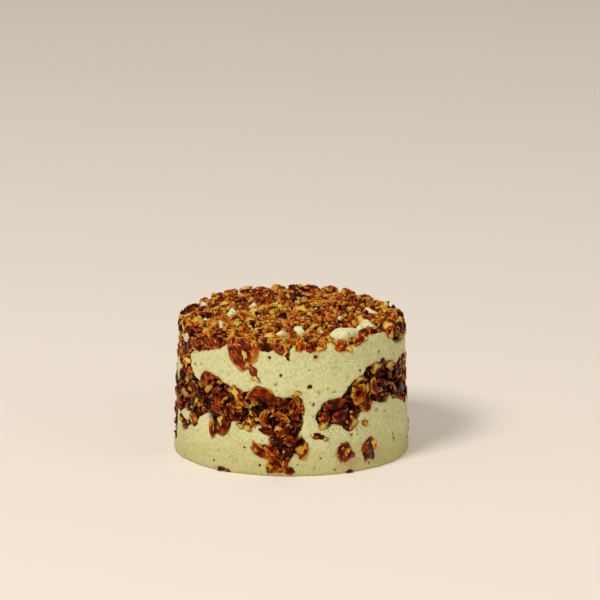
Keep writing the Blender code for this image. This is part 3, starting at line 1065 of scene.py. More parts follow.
@dataclass
class HalvaBody:
    """The halva: a tapered block, with a room for each layer of walnuts."""

    finish: HalvaFinish = HalvaFinish()
    steps: int = 240
    foot_bevel: float = 2 * MM
    past: float = 8 * MM
    lap: float = 1.3 * MM
    patch_rise: float = 4.6 * MM
    voxel: float = 1.3 * MM
    swell: float = 1.2 * MM
    swell_size: float = 16 * MM
    grain: float = 0.5 * MM
    grain_size: float = 2.6 * MM
    flat_foot: float = 0.7
    patch_from: float = 70 * MM
    stain_reach: tuple[float, ...] = (0.8 * MM, 1.6 * MM, 2.6 * MM)
    stain_depth: float = 9 * MM
    crumb_stain: float = 1.2
    node: str = "halva_block"

    def build(self) -> bpy.types.Object:
        """Models the halva.

        Returns:
            The finished piece.
        """
        body = self._block()
        Bench.combine(body, "DIFFERENCE", [self._layer_room(), self._top_room()])
        Bench.modify(body, "REMESH", mode="VOXEL", voxel_size=self.voxel)
        Bench.modify(body, "SMOOTH", factor=0.5, iterations=2)
        self._roughen(body)
        Bench.smooth(body)
        return self._dress(body)

    def _block(self) -> bpy.types.Object:
        """Models the plain block, high enough for the bare spots.

        Returns:
            The block.
        """
        block = Bench.start(
            bpy.ops.mesh.primitive_cylinder_add,
            "halva_body",
            vertices=self.steps,
            radius=BLOCK.base_radius,
            depth=1.0,
            end_fill_type="TRIFAN",
        )
        Bench.reshape(block, self._taper)
        for vertex in block.data.vertices:
            vertex.select = vertex.co.z < MM < vertex.co.length
        for edge in block.data.edges:
            edge.select = all(block.data.vertices[index].select for index in edge.vertices)
        for face in block.data.polygons:
            face.select = False
        with Bench.editing(block, "EDGE"):
            bpy.ops.mesh.bevel(offset=self.foot_bevel, segments=3)
        return block

    def _taper(self, point: Vector) -> Vector:
        """Puts one corner of the plain cylinder on the tapered block.

        Args:
            point: The corner's place on the cylinder.

        Returns:
            Its place on the block.
        """
        if point.z < 0:
            return Vector((point.x, point.y, 0.0))
        shrink = BLOCK.top_radius / BLOCK.base_radius
        x, y = point.x * shrink, point.y * shrink
        return Vector((x, y, BLOCK.top(x, y) + self.patch_rise))

    def _layer_room(self) -> bpy.types.Object:
        """Models the room that the walnut layer takes, less the halva that reaches through it.

        Returns:
            The room.
        """
        room = WavyDisc(
            name="layer_room",
            reach=self.past,
            rim_top=lambda angle: LAYER_TOP.at(angle) - self.lap,
            rim_bottom=lambda angle: LAYER_BOTTOM.at(angle) + self.lap,
            hub_top=lambda x, y: 58 * MM,
            hub_bottom=38 * MM,
            hub_radius=60 * MM,
        ).build()
        Bench.combine(room, "UNION", [tail.model("tail_room", -self.lap) for tail in TAILS])
        Bench.combine(room, "DIFFERENCE", [bridge.model("bridge") for bridge in BRIDGES])
        return room

    def _top_room(self) -> bpy.types.Object:
        """Models the room over and beside the top that the topping takes, less the bare spots.

        Returns:
            The room.
        """
        room = WavyDisc(
            name="top_room",
            reach=self.past,
            rim_top=lambda angle: SKY,
            rim_bottom=lambda angle: TOP_EDGE.at(angle) + self.lap,
            hub_top=lambda x, y: SKY,
            hub_bottom=91 * MM,
            hub_radius=66 * MM,
        ).build()
        Bench.combine(room, "DIFFERENCE", [spot.model("bare_spot") for spot in SPOTS])
        patches = [bridge for bridge in BRIDGES if bridge.height > self.patch_from]
        Bench.combine(room, "DIFFERENCE", [patch.model("patch") for patch in patches])
        return room

    def _roughen(self, body: bpy.types.Object) -> None:
        """Gives the pressed surface its swells and its grain, and keeps the base flat.

        Args:
            body: The halva.
        """
        for name, size, depth in (
            ("swell", self.swell_size, self.swell),
            ("grain", self.grain_size, self.grain),
        ):
            clouds = bpy.data.textures.new(name, "CLOUDS")
            clouds.noise_scale = size
            clouds.noise_depth = 2
            Bench.modify(body, "DISPLACE", texture=clouds, strength=depth, mid_level=0.5)
        for vertex in body.data.vertices:
            if vertex.co.z < self.voxel * self.flat_foot:
                vertex.co.z = 0.0
        body.data.update()

    def _stain(self, body: bpy.types.Object) -> None:
        """Paints how near each point of the side is to walnuts, whose oil stains the halva.

        Args:
            body: The halva.
        """
        mesh = body.data
        points = np.empty(len(mesh.vertices) * 3)
        mesh.vertices.foreach_get("co", points)
        x, y, z = points.reshape(-1, 3).T
        angle = np.degrees(np.arctan2(x, -y))
        near = np.zeros(len(x))
        for reach in self.stain_reach:
            turn = np.degrees(reach / BLOCK.base_radius)
            for across, up in ((turn, 0), (-turn, 0), (0, reach), (0, -reach)):
                place = (angle + across, z + up)
                walnut = is_walnut(*place) | (place[1] > TOP_EDGE.at(place[0]))
                for bridge in BRIDGES:
                    walnut = walnut & ~bridge.holds(*place)
                near += walnut
        near /= 4 * len(self.stain_reach)
        for fleck in FLECKS:
            across = np.radians(apart(angle, fleck.angle)) * BLOCK.base_radius
            distance = np.hypot(across, z - fleck.height * MM) / (fleck.size * MM)
            near = np.maximum(near, self.crumb_stain * (1 - distance))
        on_side = np.hypot(x, y) > BLOCK.radius(z) - self.stain_depth
        share = np.where(on_side, near, 0.0)
        colours = np.column_stack((share, share, share, np.ones(len(x))))
        paint = mesh.color_attributes.new("stain", "FLOAT_COLOR", "POINT")
        paint.data.foreach_set("color", colours.ravel())

    def _dress(self, body: bpy.types.Object) -> bpy.types.Object:
        """Gives the halva its finish and its place in the frame.

        Args:
            body: The halva.

        Returns:
            The same.
        """
        self._stain(body)
        body.data.materials.clear()
        body.data.materials.append(self.finish.make())
        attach(body, "root")
        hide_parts(self.node)
        return body


@dataclass
class CaramelCore:
    """The dark mass of caramel and walnut that the visible pieces of one layer sit in, its near-black
    colour partly painted shade.
    """

    name: str
    node: str
    disc: WavyDisc
    lumps: Sequence[Lump]
    finish: bpy.types.Material
    voxel: float = 2.2 * MM
    swell: float = 2.4 * MM
    swell_size: float = 7 * MM
    lump_grow: float = -0.5 * MM
    lump_inwards: float = 7.5 * MM
    clearance: float = 0.4 * MM

    def build(self) -> bpy.types.Object:
        """Models the core.

        Returns:
            The finished piece.
        """
        core = self.disc.build()
        core.name = self.name
        lumps = [lump.model("lump", self.lump_grow, self.lump_inwards) for lump in self.lumps]
        Bench.combine(core, "UNION", lumps)
        Bench.modify(core, "REMESH", mode="VOXEL", voxel_size=self.voxel)
        clouds = bpy.data.textures.new(self.name, "CLOUDS")
        clouds.noise_scale = self.swell_size
        Bench.modify(core, "DISPLACE", texture=clouds, strength=self.swell, mid_level=0.5)
        for vertex in core.data.vertices:
            vertex.co.z = max(vertex.co.z, self.clearance)
        core.data.update()
        Bench.smooth(core)
        core.data.materials.clear()
        core.data.materials.append(self.finish)
        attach(core, "root")
        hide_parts(self.node)
        return core


# ---- Walnut pieces ----


class Cut(Enum):
    """How a walnut piece came off its kernel."""

    WHOLE = "whole"
    BROKEN = "broken"
    CURL = "curl"
    CRUMB = "crumb"
    ARCH = "arch"
    RING = "ring"


class Grade(Enum):
    """How finely a piece is modelled, as the subdivisions of the ball that it starts from."""

    SMALL = 2
    LARGE = 3
    FINE = 4


WHOLE, BROKEN, CURL, CRUMB, ARCH, RING = Cut


@dataclass
class Shape:
    """A piece's form about the origin, one unit long, with its show side towards +Z.

    Attributes:
        points: The corners.
        faces: The triangles.
        paint: How bare each corner is of skin, and how much lighter it is at the edge, as painted light,
            and on ridges.
    """

    points: np.ndarray
    faces: np.ndarray
    paint: np.ndarray


@dataclass
class Placed:
    """One piece where it lies."""

    shape: Shape
    place: Matrix
    tone: float
    light: float


@dataclass(frozen=True)
class Recipe:
    """How one kind of piece is shaped.

    Attributes:
        length: Its length before it is bent.
        width: The range of its width.
        thickness: The range of its thickness.
        lumps: How lumpy it is.
        bent: How many of the kind are bent, from 0 to 1.
        bend: The range of their bend in radians.
        broken: How many of the kind have a side broken off, from 0 to 1.
        lean: How far the break may lean along and across the piece.
        break_height: How high over the middle the break lies.
        dish: The range of how far the flesh is sunk; below zero it bulges.
    """

    length: float
    width: tuple[float, float]
    thickness: tuple[float, float]
    lumps: float
    bent: float = 0.0
    bend: tuple[float, float] = (0.0, 0.0)
    broken: float = 0.0
    lean: tuple[float, float] = (0.0, 0.0)
    break_height: float = 0.0
    dish: tuple[float, float] = (0.0, 0.0)


RECIPES = {
    WHOLE: Recipe(1.0, (0.46, 0.74), (0.5, 0.66), 0.5, 0.6, (0.4, 1.1)),
    BROKEN: Recipe(
        1.0, (0.45, 0.7), (0.62, 0.8), 0.6, 0.5, (0.3, 0.9), 1.0, (0.4, 0.7), 0.13, (-0.05, 0.02)
    ),
    CURL: Recipe(
        1.5, (0.42, 0.56), (0.5, 0.62), 0.45, 1.0, (1.2, 2.4), 0.4, (0.2, 0.8), 0.16, (-0.03, -0.03)
    ),
    CRUMB: Recipe(1.0, (0.5, 0.85), (0.5, 0.7), 0.9),
    ARCH: Recipe(2.2, (0.62, 0.62), (0.66, 0.66), 0.26, 1.0, (1.9, 2.5)),
}
RING_RELIEF: Layers = ((3, 0.55), (8, 0.25))
# The farthest that a piece's noise is shifted
FAR = 50


def within(ends: tuple[float, float], rng: random.Random) -> float:
    """A number between two ends, drawn only if they differ."""
    return rng.uniform(*ends) if ends[0] < ends[1] else ends[0]


def happens(chance: float, rng: random.Random) -> bool:
    """Whether something happens by its chance, drawn only where that is in doubt."""
    return chance == 1 or (chance > 0 and rng.random() < chance)


@dataclass(frozen=True)
class Relief:
    """How the ball that a piece starts from is pushed about: noise scales and strengths."""

    lump_scale: float = 2.6
    dent_scale: float = 4.6
    dent: float = 0.24
    lobe: float = 0.17
    ripple_scale: float = 8
    ripple: float = 0.13
    grain_scale: float = 19
    grain: float = 0.03


@dataclass
class Chopper:
    """Models each kind of piece a few times over, to be copied."""

    variants: int = 7
    seed: int = 11
    relief: Relief = Relief()
    rim: float = 0.07
    poke: float = 0.6
    skin_fade: float = 0.38
    flesh_bumps: float = 0.05
    flesh_scale: float = 9
    flesh_shift: float = 40
    level: float = 0.98
    crumb_bare: tuple[float, ...] = (0.0, 0.0, 0.9)
    ring_radius: float = 0.33
    ring_thickness: float = 0.17
    # Painted light: corners near a piece's ends get a lighter tone, for light through the thin edges
    edge_light_from: float = 0.7
    edge_light_width: float = 0.4
    edge_light_tone: float = 1.5
    ridge: float = 0.23
    ridge_limit: float = 2.4
    evening: int = 3
    many_corners: int = 400
    shapes: dict[tuple[Cut, Grade], list[Shape]] = field(default_factory=dict)

    def stock(self) -> None:
        """Models every kind in every grade."""
        for cut in Cut:
            for grade in Grade:
                rng = random.Random(f"{self.seed} {cut.value} {grade.value}")
                shapes = [self._piece(cut, rng, grade) for _ in range(self.variants)]
                self.shapes[cut, grade] = shapes

    def pick(self, cut: Cut, rng: random.Random, grade: Grade = Grade.SMALL) -> Shape:
        """One of the modelled shapes of a kind."""
        return rng.choice(self.shapes[cut, grade])

    def _piece(self, cut: Cut, rng: random.Random, grade: Grade) -> Shape:
        """Models one piece.

        Args:
            cut: Its kind.
            rng: The draw.
            grade: How finely it is modelled.

        Returns:
            Its shape.
        """
        if cut is RING:
            return self._ring(rng, grade)
        recipe = RECIPES[cut]
        size = (recipe.length, within(recipe.width, rng), within(recipe.thickness, rng))
        obj = self._ball(rng, grade.value - (cut is CRUMB), size, recipe.lumps)
        if happens(recipe.broken, rng):
            lean = self._lean(recipe, rng)
            self._slice(obj, recipe.break_height, lean, within(recipe.dish, rng))
        if happens(recipe.bent, rng):
            side = rng.choice((-1, 1)) if cut is CURL else 1
            self._bend(obj, side * rng.uniform(*recipe.bend))
        shape = self._shape(obj)
        if cut is CRUMB:
            shape.paint[:, 0] = rng.choice(self.crumb_bare)
        if cut is ARCH and shape.points[np.abs(shape.points[:, 0]) > 0.4][:, 1].mean() < 0:
            shape.points[:, :2] *= -1
        return shape

    def _ball(
        self, rng: random.Random, detail: int, size: tuple[float, float, float], lumps: float
    ) -> bpy.types.Object:
        """Models a lumpy ball.

        Args:
            rng: The draw.
            detail: The sphere's subdivisions.
            size: Its three sizes.
            lumps: How lumpy it is.

        Returns:
            The ball.
        """
        operator = bpy.ops.mesh.primitive_ico_sphere_add
        obj = Bench.start(operator, "piece", subdivisions=detail, radius=0.5)
        shift = Vector((rng.uniform(-FAR, FAR), rng.uniform(-FAR, FAR), rng.uniform(-FAR, FAR)))
        lobes = rng.choice((2, 3))
        phase = rng.uniform(0, math.tau)
        relief = self.relief

        def pushed(point: Vector) -> Vector:
            """Where a corner of the ball goes.

            Args:
                point: The corner's place.

            Returns:
                Its new place.
            """
            turn = math.atan2(point.y, point.x)
            dents = relief.dent * noise.noise(point * relief.dent_scale - shift)
            swell = 1 + lumps * noise.noise(point * relief.lump_scale + shift) + dents
            swell *= 1 + relief.lobe * math.cos(lobes * turn + phase) * (1 - abs(point.z) * 2)
            if detail >= Grade.LARGE.value:
                swell *= 1 + relief.ripple * noise.noise(point * relief.ripple_scale + shift)
            if detail >= Grade.FINE.value:
                swell *= 1 + relief.grain * noise.noise(point * relief.grain_scale + shift)
            return Vector((point.x * size[0], point.y * size[1], point.z * size[2])) * swell

        Bench.reshape(obj, pushed)
        return self._blank(obj)

    @staticmethod
    def _blank(obj: bpy.types.Object) -> bpy.types.Object:
        """Gives a piece its paint, with its skin all over.

        Args:
            obj: The piece.

        Returns:
            The same.
        """
        paint = obj.data.color_attributes.new("nut", "FLOAT_COLOR", "POINT")
        paint.data.foreach_set("color", [0.0, 0.0, 0.0, 1.0] * len(obj.data.vertices))
        return obj

    @staticmethod
    def _bend(obj: bpy.types.Object, angle: float) -> None:
        """Bends a piece by an angle in radians."""
        Bench.modify(obj, "SIMPLE_DEFORM", deform_method="BEND", deform_axis="Z", angle=angle)

    @staticmethod
    def _lean(recipe: Recipe, rng: random.Random) -> Vector:
        """The direction of a break, by chance."""
        along, across = recipe.lean
        return Vector((rng.uniform(-along, along), rng.uniform(-across, across), 1)).normalized()

    def _slice(self, obj: bpy.types.Object, height: float, normal: Vector, dish: float) -> None:
        """Breaks a side off, and leaves the flesh bare inside a rim of skin.

        Args:
            obj: The piece.
            height: How high over the piece's middle the break lies.
            normal: Its direction.
            dish: How far the bare flesh is sunk; below zero it bulges.
        """
        place = Vector((0, 0, height))
        with Bench.editing(obj, select=True):
            bpy.ops.mesh.bisect(plane_co=place, plane_no=normal, use_fill=True, clear_outer=True)
        for face in obj.data.polygons:
            face.select = face.normal.dot(normal) > self.level and len(face.vertices) > 4
        if not any(face.select for face in obj.data.polygons):
            return
        with Bench.editing(obj):
            bpy.ops.mesh.inset(thickness=self.rim, depth=-dish)
            bpy.ops.mesh.poke(offset=dish * -self.poke)
        paint = obj.data.color_attributes["nut"]
        bare = [vertex for vertex in obj.data.vertices if vertex.select]
        middle = sum((vertex.co for vertex in bare), Vector()) / max(len(bare), 1)
        reach = max((vertex.co - middle).length for vertex in bare)
        shift = place * self.flesh_shift
        for vertex in bare:
            share = 1 - self.skin_fade * (vertex.co - middle).length / reach
            paint.data[vertex.index].color = (share, 0.0, 0.0, 1.0)
            bump = noise.noise(vertex.co * self.flesh_scale + shift)
            vertex.co += normal * self.flesh_bumps * bump

    def _shape(self, obj: bpy.types.Object) -> Shape:
        """Reads a finished piece and removes it from the scene.

        Args:
            obj: The piece.

        Returns:
            Its shape.
        """
        with Bench.editing(obj, select=True):
            bpy.ops.mesh.quads_convert_to_tris()
            bpy.ops.mesh.normals_make_consistent(inside=False)
        mesh = obj.data
        points = np.array([vertex.co for vertex in mesh.vertices])
        faces = np.array([face.vertices[:] for face in mesh.polygons])
        colours = np.array([entry.color for entry in mesh.color_attributes["nut"].data])
        middle = (points.max(axis=0) + points.min(axis=0)) / 2
        points = (points - middle) / np.ptp(points[:, 0])
        reach = np.hypot(points[:, 0] * 2, points[:, 1] * 2 / np.ptp(points[:, 1]))
        # Painted light: a lighter tone towards the piece's edges
        edge = np.clip(reach - self.edge_light_from, 0, self.edge_light_width) * self.edge_light_tone
        tone = edge + self._ridges(mesh)
        bpy.data.objects.remove(obj, do_unlink=True)
        return Shape(points, faces, np.column_stack((colours[:, 0], tone)))

    def _ridges(self, mesh: bpy.types.Mesh) -> np.ndarray:
        """How far each corner stands out from those round it.

        Args:
            mesh: The piece's mesh.

        Returns:
            A tone for each corner: above 0 on ridges, below in dents.
        """
        points = np.array([vertex.co for vertex in mesh.vertices])
        normals = np.array([vertex.normal for vertex in mesh.vertices])
        ends = np.array([edge.vertices[:] for edge in mesh.edges])
        pairs = (ends.T, ends.T[::-1])
        total, count = np.zeros_like(points), np.zeros(len(points))
        for here, there in pairs:
            np.add.at(total, here, points[there])
            np.add.at(count, here, 1)
        out = ((points - total / count[:, None]) * normals).sum(axis=1)
        for _ in range(self.evening if len(points) > self.many_corners else 0):
            near = np.zeros_like(out)
            for here, there in pairs:
                np.add.at(near, here, out[there])
            out = (out + near / count) / 2
        out = (out - out.mean()) / max(out.std(), 1e-9)
        limit = self.ridge_limit * self.ridge
        return np.clip(out * self.ridge, -limit, limit)

    def _ring(self, rng: random.Random, grade: Grade) -> Shape:
        """Models a kernel's rim that closes on itself round a dark hollow.

        Args:
            rng: The draw.
            grade: How finely it is modelled.

        Returns:
            Its shape.
        """
        steps = 2 * 2**grade.value
        obj = Bench.start(
            bpy.ops.mesh.primitive_torus_add,
            "piece",
            major_radius=self.ring_radius,
            minor_radius=self.ring_thickness,
            major_segments=steps,
            minor_segments=steps // 3,
        )
        shift = Vector((rng.uniform(-FAR, FAR), rng.uniform(-FAR, FAR), 0))
        Bench.reshape(obj, lambda point: point * bumpy(point, shift, RING_RELIEF))
        return self._shape(self._blank(obj))


@dataclass
class Pile:
    """Pieces of one kind, joined into one mesh."""

    name: str
    node: str
    finish: bpy.types.Material
    placed: list[Placed] = field(default_factory=list)
    sharp: float = 80.0
    proud: float = 0.5 * MM
    give: float = 0.45
    clearance: float = 0.3 * MM

    def add(self, shape: Shape, place: Matrix, tone: float, light: float) -> None:
        """Adds one piece."""
        self.placed.append(Placed(shape, place, tone, light))

    def build(self) -> bpy.types.Object:
        """Joins the pieces.

        Returns:
            The finished piece.
        """
        points, faces, paint, count = [], [], [], 0
        for item in self.placed:
            shape = item.shape
            size = len(shape.points)
            matrix = np.array(item.place)
            points.append(shape.points @ matrix[:3, :3].T + matrix[:3, 3])
            faces.append(shape.faces + count)
            bare, tone = shape.paint[:, 0], item.tone + shape.paint[:, 1]
            paint.append(np.column_stack((bare, tone, np.full(size, item.light), np.ones(size))))
            count += size
        corners = self._pressed(np.vstack(points))
        mesh = bpy.data.meshes.new(self.name)
        mesh.from_pydata(corners.tolist(), [], np.vstack(faces).tolist())
        colours = mesh.color_attributes.new("nut", "FLOAT_COLOR", "POINT")
        colours.data.foreach_set("color", np.vstack(paint).ravel())
        obj = bpy.data.objects.new(self.name, mesh)
        bpy.context.scene.collection.objects.link(obj)
        Bench.smooth(obj, self.sharp)
        mesh.materials.append(self.finish)
        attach(obj, "root")
        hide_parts(self.node)
        return obj

    def _pressed(self, corners: np.ndarray) -> np.ndarray:
        """Presses the corners nearly flush with the mould that shaped the side, and off the floor.

        Args:
            corners: The corners' places.

        Returns:
            The pressed places.
        """
        x, y, z = corners.T
        radius = np.hypot(x, y)
        over = np.maximum(radius - BLOCK.radius(z) - self.proud, 0)
        share = (radius - over * (1 - self.give)) / np.maximum(radius, MM)
        return np.column_stack((x * share, y * share, np.maximum(z, self.clearance)))


@dataclass
class Strewing:
    """Keeps pieces apart while they are strewn over a surface that is laid out flat."""

    cell: float = 12 * MM
    taken: dict[tuple[int, int], list[tuple[float, float, float]]] = field(default_factory=dict)

    def free(self, x: float, y: float, radius: float, share: float) -> bool:
        """Whether a place is free.

        Args:
            x: The place across.
            y: The place along.
            radius: The piece's radius.
            share: How near pieces may come, as a share of their radii together.

        Returns:
            Whether it is.
        """
        column, row = int(x // self.cell), int(y // self.cell)
        for near_column in range(column - 1, column + 2):
            for near_row in range(row - 1, row + 2):
                for other_x, other_y, other in self.taken.get((near_column, near_row), ()):
                    if math.hypot(x - other_x, y - other_y) < share * (radius + other):
                        return False
        return True

    def take(self, x: float, y: float, radius: float) -> None:
        """Marks a place as taken."""
        key = (int(x // self.cell), int(y // self.cell))
        self.taken.setdefault(key, []).append((x, y, radius))


@dataclass(frozen=True)
class Crowd:
    """One pass of strewing: how many tries, which sizes, how deep and how close."""

    tries: int
    length: tuple[float, float]
    sunk: tuple[float, float]
    share: float
    kinds: tuple[tuple[Cut, float], ...]
    tone: tuple[float, float]
    tilt: float = 0.34
    grade: Grade = Grade.SMALL
    thick: float = 1.0


def facing(place: Vector, outwards: Vector, up: Vector, spin: float) -> Matrix:
    """A frame at a place: +Z outwards, and +X spun from the direction across `up`.

    Args:
        place: The frame's origin.
        outwards: The direction of +Z.
        up: A direction that is not along it.
        spin: The turn about +Z in radians.

    Returns:
        The frame.
    """
    normal = outwards.normalized()
    across = up.cross(normal).normalized()
    along = normal.cross(across)
    turn = Matrix((across, along, normal)).transposed()
    return Matrix.Translation(place) @ turn.to_4x4() @ Matrix.Rotation(spin, 4, "Z")


def stretch(length: float, width: float, thickness: float) -> Matrix:
    """Scales a piece by its three sizes."""
    return Matrix.Diagonal((length, width, thickness, 1.0))


def side_frame(angle: float, height: float, sunk: float, spin: float) -> Matrix:
    """A frame on the side, with +X along the side and +Y up before the spin.

    Args:
        angle: Its place's angle in degrees.
        height: Its place's height.
        sunk: How far it lies below the surface.
        spin: The turn about +Z in radians.

    Returns:
        The frame.
    """
    outwards = polar(1.0, angle, 0.05)
    place = polar(BLOCK.radius(height) - sunk, angle, height)
    return facing(place, outwards, Vector((0, 0, 1)), spin)


RIM_WIDTH = 11 * MM
RIM_LEAN = 0.9
RIM_DROP = 3.0


def top_frame(x: float, y: float, sunk: float, spin: float) -> Matrix:
    """A frame on the top, which leans outwards and drops near the rim.

    Args:
        x: Its place to the right.
        y: Its place to the back.
        sunk: How far it lies below the surface.
        spin: The turn about +Z in radians.

    Returns:
        The frame.
    """
    radius = math.hypot(x, y)
    near_rim = max(0.0, (radius - BLOCK.top_radius + RIM_WIDTH) / RIM_WIDTH)
    lean = near_rim**1.5 * RIM_LEAN
    out = Vector((x, y, 0)).normalized() if radius > MM else Vector((1, 0, 0))
    outwards = Vector((0, -BLOCK.slope, 1)) + out * lean
    place = Vector((x, y, BLOCK.top(x, y) - sunk - near_rim * near_rim * RIM_DROP * MM))
    return facing(place, outwards, Vector((0, 1, 0.01)), spin)


def fitted(shape: Shape, length: float, width: float, thickness: float) -> Matrix:
    """Scales a shape to three sizes in mm."""
    span = np.ptp(shape.points, axis=0)
    return stretch(length * MM, width * MM / span[1], thickness * MM / span[2])


def tipped(frame_matrix: Matrix, rng: random.Random, tilt: float) -> Matrix:
    """A frame tipped a little, by chance."""
    return frame_matrix @ Euler((rng.gauss(0, tilt), rng.gauss(0, tilt), 0)).to_matrix().to_4x4()


def choose(kinds: Sequence[tuple[Cut, float]], rng: random.Random) -> Cut:
    """Draws a kind by its weight."""
    return rng.choices([kind for kind, _ in kinds], [weight for _, weight in kinds])[0]


@dataclass(frozen=True)
class Feature:
    """A piece that stands out, placed one by one.

    Attributes:
        cut: Its kind.
        across: Degrees round the side, or mm to the right on top.
        along: Its height on the side in mm, or mm to the back on top.
        length: Its length in mm.
        width: Its width in mm.
        turn: Its turn in degrees.
        tone: How light its skin is.
        light: How pale its flesh is.
        sunk: How deep it lies in mm.
    """

    cut: Cut
    across: float
    along: float
    length: float
    width: float
    turn: float
    tone: float
    light: float
    sunk: float


@dataclass(frozen=True)
class Fleck:
    """A crumb of walnut in the halva: degrees, and its height and size in mm."""

    angle: float
    height: float
    size: float


LAYER_ROWS = (
    (ARCH, -13.8, 57.5, 23.5, 16, 156, 0.58, 0.2, 0.2), (WHOLE, -18.6, 55.5, 10, 6, -82, 0.95, 0.6, 0.4),
    (BROKEN, -26.6, 58.2, 18.5, 9, -36, 0.7, 0.95, -0.2),
    (WHOLE, -24.8, 51.5, 12, 4.6, -22, 0.95, 0.6, 0.8), (WHOLE, -47.6, 66, 15, 8.5, 65, 0.72, 0.4, 0.4),
    (CURL, -49.5, 61, 9, 5, 20, 1, 0.8, 0.2), (WHOLE, -61, 66, 11, 6.5, 82, 0.95, 0.6, 0.4),
    (RING, -38.6, 55, 12.5, 13, 10, 0.62, 0.4, 0.6), (WHOLE, -39, 46, 12, 8, -24, 0.68, 0.4, 0.8),
    (WHOLE, -30.5, 43, 16, 7.5, -60, 0.55, 0.4, 0.8), (CURL, -41.8, 30.5, 17, 6, -78, 0.95, 0.9, 0.2),
    (WHOLE, -35, 34, 18.5, 11.5, 84, 0.45, 0.4, 0.6), (BROKEN, -35.8, 38.5, 9.5, 5.5, 68, 0.8, 0.95, -1.6),
    (BROKEN, -25, 35.6, 8.5, 6, 10, 0.8, 0.9, 0.2), (BROKEN, -21, 34.6, 7.5, 5, -42, 0.8, 0.8, 0.2),
    (BROKEN, -19.3, 39, 9.5, 4.8, -25, 0.9, 0.9, 0.2), (ARCH, -12.2, 42, 13.5, 10, -90, 0.95, 0.6, 0.4),
    (CURL, -5, 43.5, 15.5, 6.4, -20, 0.95, 0.8, 0.4), (BROKEN, -6.5, 35.6, 7, 5, 30, 0.9, 0.95, 0.2),
    (WHOLE, -3.2, 33.5, 13.5, 6.4, 35, 0.7, 0.4, 0.2), (WHOLE, -11.6, 33.5, 15, 6.4, -8, 0.3, 0.3, 0.6),
    (WHOLE, -3.6, 53.5, 13, 8, -42, 0.45, 0.3, 0.8), (CURL, 2, 56, 10.5, 5.4, -50, 0.95, 0.9, 0.2),
    (BROKEN, 3, 61, 6.5, 4.4, 20, 0.9, 0.9, 0.2), (WHOLE, 5, 50, 7.5, 6.2, 60, 0.66, 0.4, 0.2),
    (WHOLE, -6.2, 26.5, 15, 7, -12, 0.42, 0.3, 0.4), (WHOLE, 0.5, 26.5, 13, 7.5, 14, 0.55, 0.3, 0.4),
    (WHOLE, -15.6, 18.6, 19.5, 8, -36, 0.85, 0.3, 0), (WHOLE, -8.2, 16.5, 18, 8.5, -42, 0.75, 0.3, 0.2),
    (CURL, -8, 6.8, 14.5, 6.4, -15, 0.95, 0.8, 0.2), (CURL, -2.4, 8.6, 14.5, 6.6, 72, 0.85, 0.7, 0.2),
    (WHOLE, -1.4, 17.5, 13, 8, 70, 0.2, 0.3, 0.8), (BROKEN, 5.2, 19.4, 14.5, 9.5, 62, 0.7, 0.25, -0.2),
    (WHOLE, 13, 28.8, 12.5, 6, -16, 0.34, 0.3, 0.6), (BROKEN, 16.2, 27.2, 5, 4, -30, 0.9, 0.7, 0),
    (WHOLE, 21.8, 52.5, 18.5, 8.5, 4, 0.46, 0.3, 0), (WHOLE, 16.2, 43, 13, 8, 75, 0.62, 0.3, 0.2),
    (BROKEN, 15.4, 37, 8, 5.4, 20, 0.9, 0.7, 0.2), (WHOLE, 24, 43, 15, 9, 22, 0.42, 0.3, 0.4),
    (BROKEN, 31.4, 36.5, 11, 8, 80, 0.7, 0.6, 0.4), (RING, 35, 57, 15, 15, 30, 0.85, 0.5, 0.4),
    (ARCH, 45.5, 60, 14.5, 10.5, -60, 0.8, 0.6, 0.4), (WHOLE, 40.5, 48.5, 14, 9, 60, 0.62, 0.4, 0.4),
    (CURL, 35.5, 67, 12.5, 6, 15, 0.85, 0.7, 0.4), (BROKEN, 46.7, 74.5, 12, 7, 20, 0.8, 0.8, 0.2),
    (BROKEN, 58, 73, 11, 6.4, -20, 0.8, 0.7, 0.2), (WHOLE, 53.7, 50.5, 9.5, 5.4, -5, 0.5, 0.4, 0.4),
    (WHOLE, -7, 21.5, 9, 6, 20, 0.45, 0.3, 1), (WHOLE, -7.5, 11.5, 12, 7, -30, 0.55, 0.3, 0.8),
    (WHOLE, -3, 13, 11, 7, 60, 0.4, 0.3, 0.8), (WHOLE, 1.5, 53, 9, 7, 30, 0.45, 0.3, 1),
    (WHOLE, 1.5, 45, 10, 7, -60, 0.5, 0.3, 0.8), (WHOLE, -4.5, 39.5, 9, 7, 0, 0.45, 0.3, 1),
    (WHOLE, -9.5, 5.5, 11, 7, 10, 0.55, 0.3, 0.4), (WHOLE, -1, 4.8, 10, 7, -20, 0.6, 0.3, 0.4),
    (BROKEN, 38, 35, 5.6, 6.4, 80, 0.7, 0.4, 0.9),
)  # fmt: skip
RIM_ROWS = (
    (WHOLE, -55, 89, 16, 9.5, 10, 0.62, 0.3, 0.2), (WHOLE, -44.5, 92, 13, 9, -20, 0.66, 0.3, 0.2),
    (WHOLE, -38, 94, 11, 8, 60, 0.5, 0.3, 0.2), (WHOLE, -62, 86, 12, 9, 70, 0.45, 0.3, 0.2),
    (WHOLE, -12.5, 94, 14, 7, -6, 0.3, 0.3, 0.2), (WHOLE, 4.5, 95, 10, 7.5, 50, 0.85, 0.5, 0),
    (WHOLE, 10, 94.5, 11, 8, 30, 0.4, 0.4, 0), (BROKEN, 14, 94, 10, 6.4, 40, 0.8, 0.6, 0),
    (WHOLE, 25.5, 93, 13, 8, 10, 0.75, 0.4, 0), (BROKEN, 29.5, 91.5, 8, 5.6, -30, 0.9, 0.8, 0),
    (WHOLE, 36, 95.5, 12, 7, 14, 0.62, 0.4, 0),
)  # fmt: skip
